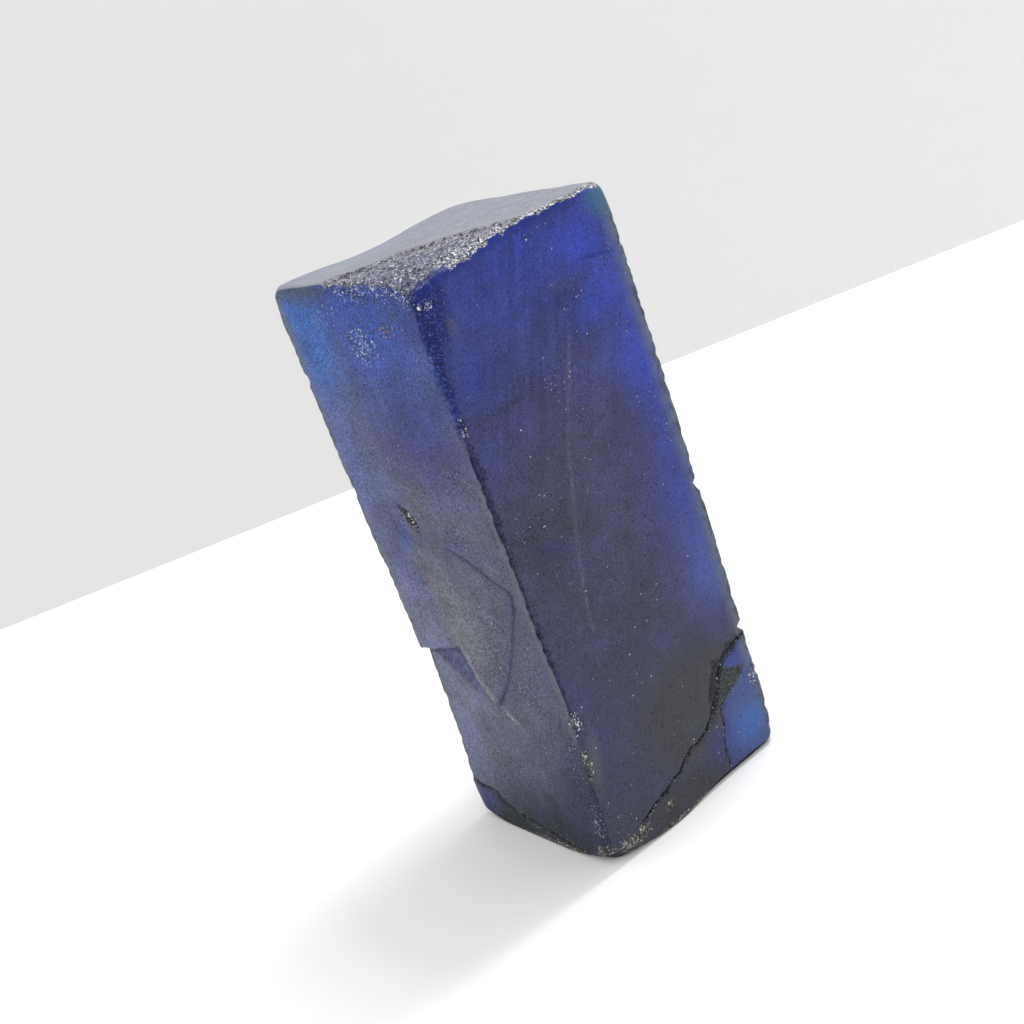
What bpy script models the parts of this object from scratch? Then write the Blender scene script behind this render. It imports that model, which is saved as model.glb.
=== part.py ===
"""An upright, four-sided block of rough blue gemstone, sawn square and left unpolished.

It is one natural piece: worn arrises, a broken top corner, a flake scar under a ledge,
open cracks and edge nicks. Lengths are in millimetres until the mesh is written out.
+Z runs up the block and the origin is at the centre of its base.
"""
import math

import bmesh
import bpy
from mathutils import Vector, noise

MM = 0.001

# Driving dimensions.
HALF = 11.7                 # half the width, along X and along Y
HEIGHT = 61.0
GRID = 2.25                 # spacing of the surface mesh
OUTSIDE = 2.0               # how far a cutter stands out of the stone

# How the four upright arrises lean, as (height, X shift, Y shift).
FRONT = ((0.0, -0.5, 0.0), (8.0, 0.15, 0.0), (18.0, 0.45, 0.0), (28.0, 0.2, 0.0),
         (40.0, 0.0, 0.0), (HEIGHT, 0.0, 0.0))
LEFT = ((0.0, -0.4, -1.0), (8.0, 0.1, -1.1), (21.0, 0.15, -1.1), (28.0, 0.1, -0.9),
        (35.0, 0.0, -0.5), (45.0, 0.0, -0.25), (HEIGHT, -0.05, 0.15))
RIGHT = ((0.0, 0.1, 0.0), (30.0, 0.25, 0.0), (HEIGHT, 0.15, 0.0))
REAR = ((0.0, -0.3, -0.7), (26.0, -0.5, -0.5), (HEIGHT, 0.05, -0.05))
CENTRE = (0.15, 0.12)       # brings the leaning block's outline back over the origin

# Wear: the round along each upright arris, and at the block's eight corners.
ARRIS_ROUND = {"front": 0.35, "left": 0.5, "right": 0.45, "rear": 0.6}
TOP_ROUND = 0.5
BASE_ROUND = 0.3
BASE_ROUND_WORN = 1.4       # along the worn right half of the front base edge
TOP_CORNER = {"front": 0.8, "left": 1.3, "right": 1.2, "rear": 1.5}
BASE_CORNER = {"front": 2.6, "left": 1.7, "right": 1.1, "rear": 1.6}

# Nicks broken out of the arrises: (arris, height, depth, half height).
NICKS = (("right", 29.7, 0.9, 0.8), ("right", 13.6, 0.7, 0.6), ("right", 8.2, 0.35, 0.5),
         ("left", 51.2, 0.5, 0.7), ("left", 39.0, 0.35, 0.6), ("left", 30.4, 0.3, 0.5),
         ("rear", 43.0, 0.8, 1.1), ("rear", 19.0, 0.6, 0.8), ("front", 16.2, 0.4, 0.6),
         ("front", 47.0, 0.3, 0.5))

# Broken front top corner: a rough shelf inside a reach of the corner, sloping to it.
CHIP_REACH = 14.2
CHIP_STEP = 0.3             # how far the shelf lies under the sawn top
CHIP_LOW = 59.2             # height at the corner itself
CHIP_RISE_X = 0.11          # rise per millimetre away from the corner
CHIP_RISE_Y = 0.2
CHIP_ROUGH = 0.26
CHIP_TIP = 0.9              # extra drop right at the corner, over CHIP_TIP_REACH
CHIP_TIP_REACH = 2.0
CHIP_CENTRE = 1.5           # how far outside the corner the shelf's rings are centred

# Broken strip down the front arris, under that corner: (height, width on the left
# face, width on the right face).
STRIP = ((43.8, 0.05, 0.05), (47.4, 0.65, 0.6), (50.6, 0.95, 1.1), (55.0, 0.7, 2.1),
         (59.5, 0.4, 2.9))

# Flake scar low on the left face: its outline as (Y, Z), and the plane of its floor.
SCAR = ((14.0, 21.6), (3.8, 22.1), (3.3, 20.8), (1.9, 17.2), (-0.2, 15.6), (-3.6, 13.0),
        (4.0, 6.6), (14.0, 3.6))
SCAR_ROOT = (-3.6, 13.0)    # where the floor meets the face
SCAR_FALL_Y = 0.046         # depth gained per millimetre towards the left arris
SCAR_FALL_Z = 0.064         # depth gained per millimetre upwards

# Flake standing a little proud of the left face, beside the scar: centre (Y, Z).
FLAKE = (0.6, 19.8)
FLAKE_REACH = 4.6
FLAKE_PROUD = 0.32

# Front base edge, swollen left of the middle.
SWELL = 0.4
SWELL_X = -3.5
SWELL_REACH = 4.5

# Open cracks, along the face they cross: (across, height), and half their widest gap.
CRACK_MAIN = ((11.9, 12.8), (9.9, 12.3), (7.8, 11.5), (6.4, 10.2), (5.0, 8.1), (4.2, 6.9),
              (1.1, 5.8), (-1.3, 4.6), (-4.2, 3.6), (-7.4, 2.7), (-8.4, 1.6))
CRACK_BRANCH = ((5.9, 7.1), (6.0, 5.6), (5.3, 4.2), (5.1, 2.9), (4.9, 1.2))
CRACK_SIDE = ((-11.9, 12.8), (-9.0, 10.9), (-5.5, 9.8), (-2.0, 7.4), (0.5, 6.9))
CRACK_LEFT = ((-2.2, 34.5), (-3.9, 33.1), (-6.8, 31.9), (-9.2, 30.6), (-9.6, 29.4),
              (-8.9, 27.4), (-6.8, 24.3), (-4.2, 20.4), (-0.4, 16.0))
CRACK_BASE = ((10.1, 5.3), (7.2, 4.0), (5.6, 3.8), (3.6, 2.2), (0.7, 1.8), (-3.1, 1.25),
              (-6.2, 0.9))
CRACK_HALF = 0.3
CRACK_HALF_FINE = 0.2

# Pits in the left face: (Y, Z, radius).
PITS = ((1.6, 37.4, 0.75), (3.0, 36.2, 0.5), (2.2, 35.1, 0.4), (3.9, 38.2, 0.35))

# Slow unevenness of the sawn faces.
WAVE = 0.09
WAVE_LENGTH = 7.0
FACE_GRAIN = 0.035
GRAIN_LENGTH = 2.2
SEED = 7

CORNER_SIGNS = {"front": (-1, -1), "left": (-1, 1), "right": (1, -1), "rear": (1, 1)}
LEANS = {"front": FRONT, "left": LEFT, "right": RIGHT, "rear": REAR}


def smooth_step(low, high, value):
    """0 below low, 1 above high, and an S-shaped rise between them."""
    part = min(max((value - low) / (high - low), 0.0), 1.0)
    return part * part * (3.0 - 2.0 * part)


def read_rows(rows, height):
    """The columns of a (height, a, b) list at a height, eased between its rows."""
    if height <= rows[0][0]:
        return rows[0][1:]
    for lower, upper in zip(rows, rows[1:]):
        if height <= upper[0]:
            part = smooth_step(lower[0], upper[0], height)
            return [a + (b - a) * part for a, b in zip(lower[1:], upper[1:])]
    return rows[-1][1:]


def nearness(distance, reach):
    return math.exp(-(distance / reach) ** 2)


def wear_round(point):
    """How round the stone is worn at a point of the square block."""
    x, y, z = point
    worn = 0.0
    total = 0.0
    for name, (sx, sy) in CORNER_SIGNS.items():
        weight = (1.0 + sx * x / HALF) ** 4 * (1.0 + sy * y / HALF) ** 4 + 1e-6
        worn += weight * ARRIS_ROUND[name]
        total += weight
    worn /= total
    front_rim = smooth_step(-HALF + 1.0, -HALF, y) * smooth_step(-3.0, 4.0, x)
    base_rim = BASE_ROUND + (BASE_ROUND_WORN - BASE_ROUND) * front_rim
    worn += (base_rim - worn) * nearness(z, 1.5)
    worn += (TOP_ROUND - worn) * nearness(HEIGHT - z, 1.5)
    for rounds, level in ((TOP_CORNER, HEIGHT), (BASE_CORNER, 0.0)):
        for name, (sx, sy) in CORNER_SIGNS.items():
            corner = Vector((sx * HALF, sy * HALF, level))
            amount = nearness((point - corner).length, 1.6 * rounds[name])
            worn += (rounds[name] - worn) * amount
    return worn


def round_off(point):
    """Moves a point of the square block's skin onto the worn, rounded block."""
    worn = wear_round(point)
    reach = HALF - worn
    core = Vector((min(max(point.x, -reach), reach), min(max(point.y, -reach), reach),
                   min(max(point.z, worn), HEIGHT - worn)))
    out = point - core
    if out.length < 1e-6:
        return point.copy()
    return core + out * (worn / out.length)


def break_strip(point):
    """Flattens the front arris to the broken strip under the top corner."""
    left_width, right_width = read_rows(STRIP, point.z)
    across = (point.x + HALF) / right_width + (point.y + HALF) / left_width
    if across >= 1.0 or point.z < STRIP[0][0]:
        return point
    inward = (1.0 - across) / (1.0 / right_width + 1.0 / left_width)
    return point + Vector((inward, inward, 0.0))


def break_nicks(point):
    """Pulls an arris in at each of its nicks."""
    moved = point.copy()
    for name, height, depth, half in NICKS:
        sx, sy = CORNER_SIGNS[name]
        reach = 1.6 * depth
        away = max(HALF - sx * point.x, HALF - sy * point.y)
        part = 1.0 - abs(point.z - height) / half
        if part > 0.0 and away < reach:
            pull = depth * part * (1.0 - away / reach)
            moved += Vector((-sx, -sy, 0.0)) * pull
    return moved


def top_height(x, y):
    """The sawn top: a little low at the rear, where it dips in the middle."""
    dip = 0.55 * nearness(x, 6.5) * smooth_step(3.0, HALF, y)
    return HEIGHT - 0.22 - 0.1 * x / HALF - 0.02 * y - dip


def lean_block(point):
    """Leans the upright arrises, dishes the top and swells the front base edge."""
    x, y, z = point
    shift = Vector((*CENTRE, 0.0))
    for name, (sx, sy) in CORNER_SIGNS.items():
        weight = (1.0 + sx * x / HALF) * (1.0 + sy * y / HALF) / 4.0
        shift_x, shift_y = read_rows(LEANS[name], z)
        shift += Vector((shift_x, shift_y, 0.0)) * weight
    swell = SWELL * nearness(x - SWELL_X, SWELL_REACH) * nearness(z, 5.0)
    shift.y -= swell * smooth_step(-6.0, -HALF, y)
    flake = FLAKE_PROUD * nearness(math.hypot(y - FLAKE[0], z - FLAKE[1]), FLAKE_REACH)
    shift.x -= flake * smooth_step(-6.0, -HALF, x)
    shift.z += (top_height(x, y) - HEIGHT) * smooth_step(HEIGHT - 9.0, HEIGHT, z)
    return point + shift


def rough_skin(point):
    """Adds the slow unevenness of the faces, fading out at the flat base."""
    slow = noise.noise_vector(point / WAVE_LENGTH + Vector((3.1, 7.7, 1.3))) * WAVE
    fine = noise.noise_vector(point / GRAIN_LENGTH + Vector((9.4, 2.6, 5.8))) * FACE_GRAIN
    return point + (slow + fine) * smooth_step(0.3, 3.0, point.z)


def shape_point(point):
    """A point of the square block, or of a cutter in it, in its final place."""
    return rough_skin(lean_block(break_nicks(break_strip(round_off(point)))))


def even_cuts(low, high):
    """Evenly spaced cuts between two limits, about a grid step apart."""
    count = max(2, round((high - low) / GRID))
    return [low + (high - low) * step / count for step in range(1, count)]


def block_mesh():
    """The square block, cut into a grid, then worn and leaned into shape."""
    bm = bmesh.new()
    bmesh.ops.create_cube(bm, size=1.0)
    for vert in bm.verts:
        vert.co = Vector((vert.co.x * 2 * HALF, vert.co.y * 2 * HALF,
                          (vert.co.z + 0.5) * HEIGHT))
    near_edge = (0.35, 1.1)
    across = even_cuts(-HALF + near_edge[1], HALF - near_edge[1])
    across += [sign * (HALF - near) for sign in (-1, 1) for near in near_edge]
    across += [-HALF + STRIP[3][2], -HALF + STRIP[4][2]]
    upright = even_cuts(near_edge[1], HEIGHT - near_edge[1])
    upright += [near_edge[0], near_edge[1], HEIGHT - near_edge[0], HEIGHT - near_edge[1]]
    for _, height, _, half in NICKS:
        upright += [height - half, height, height + half]
    for axis, levels in ((0, across), (1, across[:-2]), (2, upright)):
        normal = Vector([1.0 if index == axis else 0.0 for index in range(3)])
        for level in levels:
            geometry = bm.verts[:] + bm.edges[:] + bm.faces[:]
            bmesh.ops.bisect_plane(bm, geom=geometry, dist=1e-5, plane_co=normal * level,
                                   plane_no=normal)
    bmesh.ops.remove_doubles(bm, verts=bm.verts, dist=0.02)
    for vert in bm.verts:
        vert.co = shape_point(vert.co)
    return bm


def write_object(name, bm, material=None):
    """Makes a named object of a bmesh, in metres."""
    bmesh.ops.recalc_face_normals(bm, faces=bm.faces)
    for vert in bm.verts:
        vert.co *= MM
    mesh = bpy.data.meshes.new(name)
    bm.to_mesh(mesh)
    bm.free()
    if material:
        mesh.materials.append(material)
    made = bpy.data.objects.new(name, mesh)
    bpy.context.collection.objects.link(made)
    return made


def cut_with(target, cutter):
    """Takes a cutter's shape out of the stone, and hides the cutter."""
    cutter.hide_render = True
    cutter.display_type = "WIRE"
    cut = target.modifiers.new(cutter.name, "BOOLEAN")
    cut.operation = "DIFFERENCE"
    cut.solver = "EXACT"
    cut.object = cutter


def chip_floor(x, y):
    """Height of the broken shelf at the front top corner."""
    slope = CHIP_LOW + CHIP_RISE_X * (x + HALF) + CHIP_RISE_Y * (y + HALF)
    shelf = min(slope, top_height(x, y) - CHIP_STEP)
    rough = CHIP_ROUGH * noise.noise(Vector((x / 1.3, y / 1.3, 0.7)))
    tip = CHIP_TIP * nearness(math.hypot(x + HALF, y + HALF), CHIP_TIP_REACH)
    return shelf + rough - tip


def chip_cutter():
    """A fan of rough rings around the front top corner, which breaks it off."""
    bm = bmesh.new()
    rings = 9
    steps = 13
    centre = Vector((-HALF - CHIP_CENTRE, -HALF - CHIP_CENTRE, 0.0))
    spoke = [bm.verts.new(centre + Vector((CHIP_REACH * (0.06 + ring / rings), 0.0, 0.0)))
             for ring in range(rings + 1)]
    edges = [bm.edges.new(pair) for pair in zip(spoke, spoke[1:])]
    bmesh.ops.spin(bm, geom=spoke + edges, cent=centre, axis=(0.0, 0.0, 1.0),
                   angle=math.radians(90.0), steps=steps)
    for vert in bm.verts:
        out = vert.co - centre
        ragged = noise.noise(Vector((math.atan2(out.y, out.x) * 4.0, 4.2, 0.3)))
        vert.co = centre + out * (1.0 + 0.12 * ragged)
        vert.co.z = chip_floor(vert.co.x, vert.co.y)
    lifted = bmesh.ops.extrude_face_region(bm, geom=bm.faces[:])
    for element in lifted["geom"]:
        if isinstance(element, bmesh.types.BMVert):
            element.co.z = HEIGHT + OUTSIDE
    for vert in bm.verts:
        vert.co += Vector((*CENTRE, 0.0))
    return write_object("chip_cutter", bm)


def scar_cutter():
    """A wedge on the left face: the flake that broke away under the ledge."""
    bm = bmesh.new()
    ring = [bm.verts.new((-HALF - OUTSIDE, y, z)) for y, z in SCAR]
    bm.faces.new(ring)
    inner = bmesh.ops.extrude_face_region(bm, geom=bm.faces[:])
    for element in inner["geom"]:
        if isinstance(element, bmesh.types.BMVert):
            y, z = element.co.y, element.co.z
            depth = SCAR_FALL_Y * (y - SCAR_ROOT[0]) + SCAR_FALL_Z * (z - SCAR_ROOT[1])
            element.co = lean_block(Vector((-HALF + depth, y, z)))
    return write_object("scar_cutter", bm)


def crack_cutter(name, route, place, half):
    """A four-sided tube along a crack, widest in the middle of its length."""
    curve = bpy.data.curves.new(name, "CURVE")
    curve.dimensions = "3D"
    curve.bevel_depth = half * MM
    curve.bevel_resolution = 0
    curve.use_fill_caps = True
    spline = curve.splines.new("POLY")
    spline.points.add(len(route) - 1)
    for index, (across, height) in enumerate(route):
        spot = lean_block(place(across, height)) * MM
        spline.points[index].co = (spot.x, spot.y, spot.z, 1.0)
        spline.points[index].radius = 0.55 + 0.45 * math.sin(math.pi * index / (len(route) - 1))
    drawn = bpy.data.objects.new(name + "_route", curve)
    bpy.context.collection.objects.link(drawn)
    bpy.context.view_layer.update()
    solid = drawn.evaluated_get(bpy.context.evaluated_depsgraph_get())
    mesh = bpy.data.meshes.new_from_object(solid)
    bpy.data.objects.remove(drawn)
    cutter = bpy.data.objects.new(name, mesh)
    bpy.context.collection.objects.link(cutter)
    return cutter


def pit_cutter(name, y, z, radius):
    """A small lumpy ball, half sunk in the left face."""
    bm = bmesh.new()
    bmesh.ops.create_icosphere(bm, subdivisions=1, radius=radius)
    middle = lean_block(Vector((-HALF - 0.3 * radius, y, z)))
    for vert in bm.verts:
        lump = 1.0 + 0.2 * noise.noise(vert.co * 2.0 + Vector((y, z, 0.0)))
        vert.co = vert.co * lump + middle
    return write_object(name, bm)


def stone_material():
    material = bpy.data.materials.new("blue_stone")
    material.use_nodes = True
    shader = material.node_tree.nodes["Principled BSDF"]
    shader.inputs["Base Color"].default_value = (0.065, 0.085, 0.23, 1.0)
    shader.inputs["Roughness"].default_value = 0.42
    shader.inputs["Metallic"].default_value = 0.0
    return material


def on_right_face(across, height):
    return Vector((across, -HALF, height))


def on_left_face(across, height):
    return Vector((-HALF, across, height))


def on_far_side(across, height):
    return Vector((HALF, across, height))


def build_stone():
    stone = write_object("stone_block", block_mesh(), stone_material())
    cut_with(stone, chip_cutter())
    cut_with(stone, scar_cutter())
    cracks = (("crack_main", CRACK_MAIN, on_right_face, CRACK_HALF),
              ("crack_branch", CRACK_BRANCH, on_right_face, CRACK_HALF_FINE),
              ("crack_side", CRACK_SIDE, on_far_side, CRACK_HALF_FINE),
              ("crack_left", CRACK_LEFT, on_left_face, CRACK_HALF_FINE),
              ("crack_base", CRACK_BASE, on_left_face, CRACK_HALF_FINE))
    for name, route, place, half in cracks:
        cut_with(stone, crack_cutter(name, route, place, half))
    for index, (y, z, radius) in enumerate(PITS):
        cut_with(stone, pit_cutter("pit_%d" % (index + 1), y, z, radius))
    return stone


for old in list(bpy.data.objects):
    bpy.data.objects.remove(old)
noise.seed_set(SEED)
build_stone()
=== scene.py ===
import math

import bmesh
import bpy
import numpy as np
from mathutils import Euler, Matrix, Vector, noise


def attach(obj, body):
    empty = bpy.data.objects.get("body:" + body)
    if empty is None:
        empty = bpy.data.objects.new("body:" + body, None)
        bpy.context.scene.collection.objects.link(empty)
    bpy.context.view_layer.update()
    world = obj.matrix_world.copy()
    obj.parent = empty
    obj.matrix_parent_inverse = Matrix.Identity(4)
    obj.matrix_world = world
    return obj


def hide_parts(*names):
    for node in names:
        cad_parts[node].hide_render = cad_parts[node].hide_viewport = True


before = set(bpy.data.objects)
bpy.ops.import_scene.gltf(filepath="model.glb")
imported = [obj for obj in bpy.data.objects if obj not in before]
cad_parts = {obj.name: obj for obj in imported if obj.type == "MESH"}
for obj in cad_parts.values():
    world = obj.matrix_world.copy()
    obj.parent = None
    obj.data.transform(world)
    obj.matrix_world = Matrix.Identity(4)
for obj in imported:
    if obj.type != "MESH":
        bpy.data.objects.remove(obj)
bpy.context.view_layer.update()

# The stone: one block of rough blue stone, sawn to four upright sides and left unpolished.
# Its arrises are worn and nicked, and its front top corner, the strip of arris under that
# corner and a flake low on the left face have broken away.
MM = 0.001
HALF = 11.7                 # half the width, along X and along Y
HEIGHT = 61.0
CUTS_ACROSS = 84            # rows of the fine skin, across a face and up it
CUTS_UP = 236
CROWD_ACROSS = 0.34         # how much closer the rows lie by the arrises
CROWD_UP = 0.14

# How the four upright arrises lean, as (height, X shift, Y shift). The left face looks
# along -X and the right face along -Y, with the front arris between them.
FRONT = ((0.0, -0.5, 0.0), (8.0, 0.15, 0.0), (18.0, 0.45, 0.0), (28.0, 0.2, 0.0),
         (40.0, 0.0, 0.0), (HEIGHT, 0.0, 0.0))
LEFT = ((0.0, -0.25, -1.15), (8.0, 0.1, -1.0), (21.0, 0.05, -0.95), (28.0, 0.0, -0.75),
        (35.0, -0.05, -0.35), (45.0, -0.05, -0.1), (HEIGHT, -0.1, 0.35))
RIGHT = ((0.0, 0.15, 0.0), (8.0, 0.4, 0.0), (30.0, 0.5, 0.0), (HEIGHT, 0.25, 0.0))
REAR = ((0.0, -0.3, -0.7), (26.0, -0.5, -0.5), (HEIGHT, 0.05, -0.05))
CORNERS = {"front": (-1, -1, FRONT), "left": (-1, 1, LEFT), "right": (1, -1, RIGHT),
           "rear": (1, 1, REAR)}
CENTRE = (0.15, 0.12)       # brings the leaning block's outline over the origin

# Wear: the round along each upright arris, and at the block's eight corners.
ARRIS_ROUND = {"front": 0.35, "left": 0.5, "right": 0.45, "rear": 0.6}
TOP_ROUND = 0.5
BASE_ROUND = 0.3
BASE_ROUND_WORN = 1.4       # along the right face's base edge, right of WORN_RIM
WORN_RIM = (-3.0, 4.0)      # where along X that edge turns from sharp to worn
RIM_REACH = 1.5             # how far a rim's round reaches up or down the arrises
SPREAD = 1.6                # reach of a corner's round, or of a nick, over its own size
TOP_CORNER = {"front": 0.8, "left": 1.3, "right": 1.2, "rear": 1.5}
BASE_CORNER = {"front": 2.6, "left": 1.7, "right": 1.1, "rear": 1.6}

# The sawn top: how far it lies under the full height, its falls, and its dip at the rear.
TOP_LOW = 0.22
TOP_FALL_RIGHT = 0.1        # from the middle to the side that looks along +X
TOP_FALL_REAR = 0.02        # per millimetre
TOP_DIP = 0.55
TOP_DIP_REACH = 6.5
TOP_DIP_START = 3.0         # the Y from which it deepens to the rear rim
TOP_BLEND = 9.0             # the shape of the top fades out this far down

# Nicks broken out of the arrises: (arris, height, depth, half height).
NICKS = (("right", 29.7, 0.6, 0.8), ("right", 13.6, 0.7, 0.6), ("right", 8.2, 0.35, 0.5),
         ("left", 51.2, 0.5, 0.7), ("left", 39.0, 0.35, 0.6), ("left", 30.4, 0.3, 0.5),
         ("rear", 43.0, 0.8, 1.1), ("rear", 19.0, 0.6, 0.8), ("front", 16.2, 0.4, 0.6),
         ("front", 47.0, 0.3, 0.5))
CRUMBLE = 0.2               # depth of the small bites all along the arrises
CRUMBLE_LENGTH = 0.75
CRUMBLE_REACH = 0.75        # how far they reach from the arris
SCALLOP = 0.4               # depth of the bites right of the front arris
SCALLOP_LENGTH = 0.9
SCALLOP_REACH = 0.85
SCALLOP_SPAN = (13.0, 17.0, 42.5, 45.5)     # heights where they start, are full, and end

# The broken front top corner: a rough shelf inside a reach of the corner.
CHIP_REACH = 15.05
CHIP_RAGGED = 0.12          # how much that reach varies, in lobes and in a fine fray
CHIP_LOBE = 0.25            # radians
CHIP_FRAY = 0.35
CHIP_FRAY_LENGTH = 0.9
CHIP_STEP = 0.3             # how far the shelf lies under the sawn top
CHIP_LOW = 59.6             # height at the corner itself
CHIP_RISE_X = 0.11          # rise per millimetre away from the corner
CHIP_RISE_Y = 0.2
CHIP_ROUGH = 0.26
CHIP_ROUGH_LENGTH = 1.3
CHIP_TIP = 0.6              # extra drop right at the corner, over CHIP_TIP_REACH
CHIP_TIP_REACH = 2.0
CHIP_CENTRE = 1.5           # how far outside the corner the reach is measured from
CHIP_GRAIN = 0.2            # the crystal grains standing in it
CHIP_GRAIN_LENGTH = 0.45

# The broken strip down the front arris: (height, width on the left face, on the right).
STRIP = ((43.8, 0.05, 0.05), (47.4, 0.65, 0.6), (50.6, 0.95, 1.1), (55.0, 0.7, 2.1),
         (59.5, 0.4, 2.9))

# The flake scar low on the left face: its outline as (Y, Z), and its sloping floor.
SCAR = ((14.0, 20.3), (8.5, 21.2), (3.2, 22.2), (2.4, 20.4), (1.5, 17.4), (-0.6, 15.4), (-3.6, 13.0),
        (4.0, 6.6), (14.0, 3.6))
SCAR_ROOT = (-3.6, 13.0)    # where the floor meets the face
SCAR_FALL_Y = 0.036         # depth gained per millimetre towards the left arris
SCAR_FALL_Z = 0.052         # depth gained per millimetre upwards
SCAR_SWAY = 0.35            # how far its edge strays, and over what length
SCAR_SWAY_LENGTH = 1.6
SCAR_EDGE = (-0.2, 0.22)
SCAR_FADE = -4.0            # the X by which its depth has faded out inside the stone
FLAKE = (0.6, 19.8)         # a flake standing a little proud beside the scar (Y, Z)
FLAKE_REACH = 4.6
FLAKE_PROUD = 0.32
SWELL = 0.4                 # the right face's base edge swells left of its middle
SWELL_X = -3.5
SWELL_REACH = 4.5
SWELL_RISE = 5.0
SKIN_DEPTH = -6.0           # what is done to a shown face fades out this far inside

# Open cracks, as (across, height) on the leaning block's face that they cross.
CRACK_MAIN = ((-8.3, 1.5), (-7.4, 2.6), (-6.1, 3.1), (-5.2, 3.5), (-3.0, 4.1), (-1.3, 4.6),
              (0.4, 5.5), (1.3, 5.9), (2.1, 5.8), (3.0, 6.2), (3.7, 6.5), (4.6, 7.1),
              (5.1, 8.0), (5.7, 8.6), (6.4, 9.3), (6.7, 10.2), (7.2, 11.1), (7.9, 11.6),
              (8.7, 12.1), (9.6, 12.4), (10.5, 12.7), (12.1, 12.9))
CRACK_BRANCH = ((5.0, 0.9), (5.2, 1.8), (5.1, 2.4), (5.3, 3.9), (6.0, 5.3), (6.0, 6.9),
                (6.8, 7.9), (7.7, 8.5))
CRACK_SIDE = ((-11.9, 12.8), (-9.0, 10.9), (-5.5, 9.8), (-2.0, 7.4), (0.5, 6.9))
CRACK_LEFT = ((-0.2, 15.7), (-3.2, 18.9), (-5.0, 21.4), (-7.2, 25.0), (-9.3, 28.5),
              (-9.8, 30.0), (-9.2, 30.7), (-7.7, 31.3), (-6.2, 32.3), (-4.3, 33.2),
              (-1.8, 34.1))
CRACK_BASE = ((-7.4, 0.6), (-5.5, 0.8), (-3.6, 1.2), (-1.4, 1.6), (1.3, 2.0), (3.7, 2.3),
              (5.2, 3.1), (6.3, 3.9), (8.6, 4.1), (10.3, 4.6))
CRACK_HALF = 0.2            # half the width that sinks
CRACK_DRAW = 0.17           # points of the skin this near are drawn onto the crack
KINK_STEP = 0.7             # how far apart the kinks stand, and how fast they change
KINK_RATE = 1.9

# Pits in the left face: (Y, Z, radius), and their depth as a share of a half ball's.
PITS = ((3.5, 38.0, 0.35), (2.8, 37.3, 0.5), (2.3, 36.6, 0.6), (1.9, 35.9, 0.45),
        (1.6, 35.3, 0.3))
PIT_DEPTH = 0.7

# Unevenness of the sawn faces, and the grains that stand in broken skin.
WAVE = 0.09
WAVE_LENGTH = 7.0
FACE_GRAIN = 0.035
FACE_GRAIN_LENGTH = 2.2
BROKEN_GRAIN = 0.14
BROKEN_GRAIN_LENGTH = 0.42
FOOT_REACH = (3.4, 2.2)     # this far from the front foot, broken skin starts and is full
FOOT_STRETCH = (0.75, 1.0, 1.25)
STRIP_BREAK = 0.75          # how broken the skin is there, where the corner's is 1
RIM_BREAK = 0.9
FOOT_BREAK = 0.8
CRUMB_REACH = 0.6           # how far the crumbled top rim reaches in, and how that varies
CRUMB_SWAY = 0.55
CRUMB_SWAY_LENGTH = 1.1
SEED = 7


def smooth_step(low, high, value):
    """0 below low, 1 above high, and an S-shaped rise between them."""
    part = np.clip((value - low) / (high - low), 0.0, 1.0)
    return part * part * (3.0 - 2.0 * part)


def nearness(distance, reach):
    """1 at no distance, fading away over a reach."""
    return np.exp(-(distance / reach) ** 2)


def read_rows(rows, height):
    """The columns of a (height, a, b) list at many heights, eased between its rows."""
    table = np.array(rows)
    lower = np.clip(np.searchsorted(table[:, 0], height) - 1, 0, len(rows) - 2)
    part = smooth_step(table[lower, 0], table[lower + 1, 0], height)[:, None]
    return table[lower, 1:] + (table[lower + 1, 1:] - table[lower, 1:]) * part


def noise_at(spots, length, seat):
    """Smooth noise, about -0.7 to 0.7, with bumps about a length across."""
    return np.array([noise.noise(Vector(spot)) for spot in spots / length + seat])


def wear_round(points):
    """How round the stone is worn at points of the square block."""
    x, y, z = points.T
    worn = np.zeros(len(points))
    total = np.zeros(len(points))
    for name, (sx, sy, _) in CORNERS.items():
        weight = (1.0 + sx * x / HALF) ** 4 * (1.0 + sy * y / HALF) ** 4 + 1e-6
        worn += weight * ARRIS_ROUND[name]
        total += weight
    worn /= total
    worn_rim = smooth_step(-HALF + 1.0, -HALF, y) * smooth_step(*WORN_RIM, x)
    base_rim = BASE_ROUND + (BASE_ROUND_WORN - BASE_ROUND) * worn_rim
    worn += (base_rim - worn) * nearness(z, RIM_REACH)
    worn += (TOP_ROUND - worn) * nearness(HEIGHT - z, RIM_REACH)
    for rounds, level in ((TOP_CORNER, HEIGHT), (BASE_CORNER, 0.0)):
        for name, (sx, sy, _) in CORNERS.items():
            away = np.linalg.norm(points - (sx * HALF, sy * HALF, level), axis=1)
            worn += (rounds[name] - worn) * nearness(away, SPREAD * rounds[name])
    return worn


def round_off(points):
    """Moves points of the square block's skin onto the worn, rounded block."""
    worn = wear_round(points)
    reach = HALF - worn
    core = np.stack([np.clip(points[:, 0], -reach, reach),
                     np.clip(points[:, 1], -reach, reach),
                     np.clip(points[:, 2], worn, HEIGHT - worn)], axis=1)
    out = points - core
    length = np.maximum(np.linalg.norm(out, axis=1), 1e-9)
    return core + out * (worn / length)[:, None]


def top_height(x, y):
    """The sawn top: a little low at the rear, where it dips in the middle."""
    dip = TOP_DIP * nearness(x, TOP_DIP_REACH) * smooth_step(TOP_DIP_START, HALF, y)
    return HEIGHT - TOP_LOW - TOP_FALL_RIGHT * x / HALF - TOP_FALL_REAR * y - dip


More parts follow.
